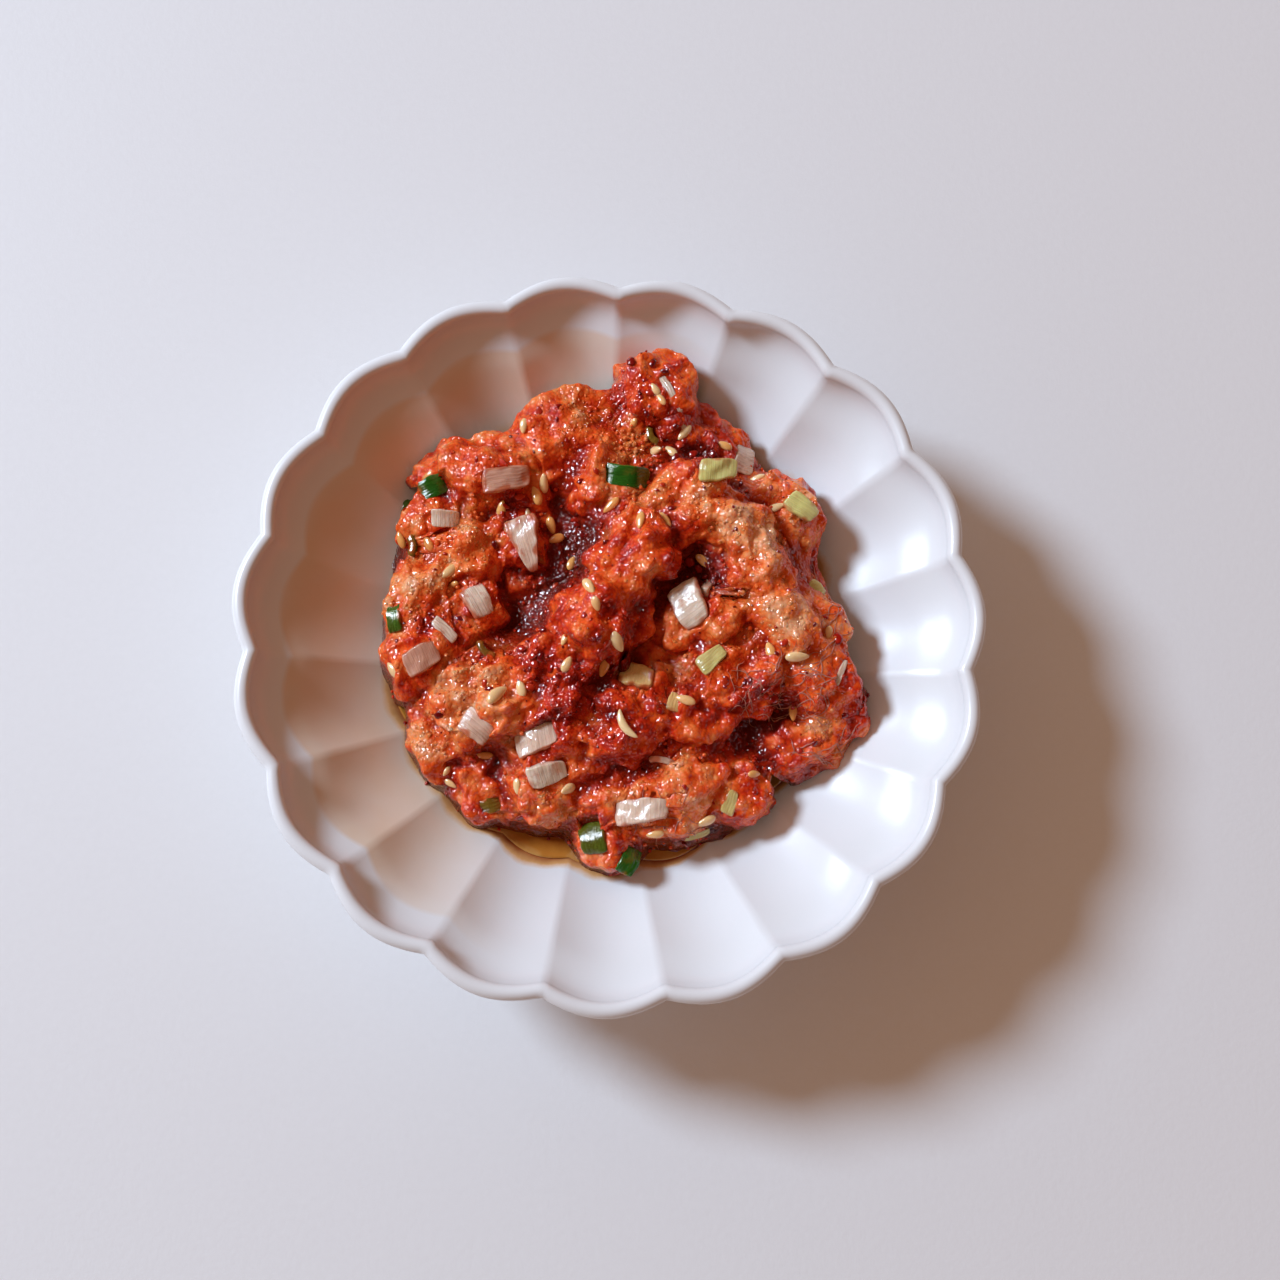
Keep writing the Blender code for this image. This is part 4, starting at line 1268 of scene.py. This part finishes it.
def build_strands(tree, finish, rng):
    """Pale threads of membrane that net the torn sides of the slabs."""
    shapes = []
    for middle_x, middle_y, reach_x, reach_y, count in STRAND_PATCHES:
        for _ in range(count):
            x = middle_x + rng.uniform(-reach_x, reach_x)
            y = middle_y + rng.uniform(-reach_y, reach_y)
            path, thick = strand_path(tree, x, y, rng)
            if len(path) >= 4:
                shapes.append(thread(path, thick))
    strands = scattered("Roe membrane threads", shapes, finish)
    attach(strands, "root")
    return strands


# ---------------- floor, light and camera

FLOOR_SIZE = 2.4
FLOOR_CELLS = 8
WINDOW_AZIMUTH = math.radians(154)
WINDOW_ELEVATION = math.radians(39)
WINDOW_DISTANCE = 1.6
# Size in metres, watts, colour.
WINDOW = (0.38, 23.0, (0.80, 1.0, 1.22))
WINDOW_GLINTS = (0.8, 34.0, (1.0, 1.0, 1.0))
ROOM_DARK_SIDE = (0.16, 0.05, 0.01, 1)
ROOM_WINDOW_SIDE = (0.54, 0.37, 0.27, 1)
LENS = 51.0
NEAREST_SEEN = 0.01
RIM_CENTRE = Vector((0, 0, BOWL_HEIGHT * MM))
VIEW_DISTANCE = 0.2619
VIEW_WAY = Vector((math.sin(math.radians(-2.0)), math.sin(math.radians(-11.9)), 0))
VIEW_WAY.z = math.sqrt(1 - VIEW_WAY.length_squared)
AIM = RIM_CENTRE + Vector((0.0040, -0.0014, 0))


def build_floor(finish):
    bpy.ops.mesh.primitive_grid_add(x_subdivisions=FLOOR_CELLS, y_subdivisions=FLOOR_CELLS, size=FLOOR_SIZE)
    floor = bpy.context.object
    floor.name = "Table"
    floor.data.materials.append(finish)


def add_lamp(name, size, energy, colour):
    """A round lamp where the window is."""
    light = bpy.data.lights.new(name, "AREA")
    light.shape = "DISK"
    light.size = size
    light.energy = energy
    light.color = colour
    lamp = bpy.data.objects.new(name, light)
    away = WINDOW_DISTANCE * math.cos(WINDOW_ELEVATION)
    lamp.location = (away * math.cos(WINDOW_AZIMUTH), away * math.sin(WINDOW_AZIMUTH),
                     WINDOW_DISTANCE * math.sin(WINDOW_ELEVATION))
    lamp.rotation_euler = lamp.location.to_track_quat("Z", "Y").to_euler()
    bpy.context.scene.collection.objects.link(lamp)
    return lamp


def add_glints(pieces):
    """The rest of the window, which only shows as glints on the wet food."""
    lamp = add_lamp("Window glints", *WINDOW_GLINTS)
    lamp.visible_diffuse = False
    lamp.visible_transmission = False
    wet = bpy.data.collections.new("Wet food")
    for piece in pieces:
        wet.objects.link(piece)
    lamp.light_linking.receiver_collection = wet


def add_light():
    """A window high on the far left, and a room that is cool there and warm and dim opposite."""
    add_lamp("Window", *WINDOW)
    way = Vector((math.cos(WINDOW_AZIMUTH), math.sin(WINDOW_AZIMUTH), 0))

    world = bpy.data.worlds.new("Room")
    world.use_nodes = True
    nodes, link = world.node_tree.nodes, world.node_tree.links.new
    place = nodes.new("ShaderNodeTexCoord")
    towards = nodes.new("ShaderNodeVectorMath")
    towards.operation = "DOT_PRODUCT"
    towards.inputs[1].default_value = way * 0.5
    middle = nodes.new("ShaderNodeMath")
    middle.inputs[1].default_value = 0.5
    ramp = nodes.new("ShaderNodeValToRGB")
    ramp.color_ramp.elements[0].color = ROOM_DARK_SIDE
    ramp.color_ramp.elements[1].color = ROOM_WINDOW_SIDE
    link(place.outputs["Generated"], towards.inputs[0])
    link(towards.outputs["Value"], middle.inputs[0])
    link(middle.outputs[0], ramp.inputs["Fac"])
    link(ramp.outputs["Color"], nodes["Background"].inputs["Color"])
    world.cycles_visibility.glossy = False
    bpy.context.scene.world = world


def add_camera():
    camera = bpy.data.cameras.new("View")
    camera.lens = LENS
    camera.clip_start = NEAREST_SEEN
    holder = bpy.data.objects.new("View", camera)
    holder.location = RIM_CENTRE + VIEW_WAY * VIEW_DISTANCE
    ahead = (AIM - holder.location).normalized()
    right = ahead.cross(Vector((0, 1, 0))).normalized()
    turn = Matrix((right, right.cross(ahead), -ahead)).transposed()
    holder.rotation_euler = turn.to_euler()
    bpy.context.scene.collection.objects.link(holder)
    bpy.context.scene.camera = holder


def main():
    rng = random.Random(7)
    porcelain = porcelain_finish()
    roe = roe_finish("Roe", 1500)
    oil = oil_finish()
    finishes = {kind: slice_finish(*looks) for kind, *looks in SLICE_LOOKS}
    build_bowl(porcelain)
    heap, frames = build_heap(roe)
    build_heap_base(roe)
    build_sauce(oil)
    tree = tree_of(heap)
    slices = [set_slice(frames[row[0]], row, key, finishes) for key, row in enumerate(SLICES + SHREDS)]
    food = [heap] + [piece for piece, row in zip(slices, SLICES + SHREDS) if row[9] == "green"]
    food.append(build_seeds(tree, seed_finish(), rng))
    food.append(build_sliver(tree, seed_finish()))
    food.append(build_flakes(tree, flake_finish(), rng))
    food.append(build_eggs(heap, tree, roe_finish("Roe eggs", 3500), rng))
    build_strands(tree, strand_finish(), rng)
    build_floor(floor_finish())
    add_light()
    add_glints(food)
    add_camera()
    bpy.context.scene.view_settings.view_transform = "Standard"


main()
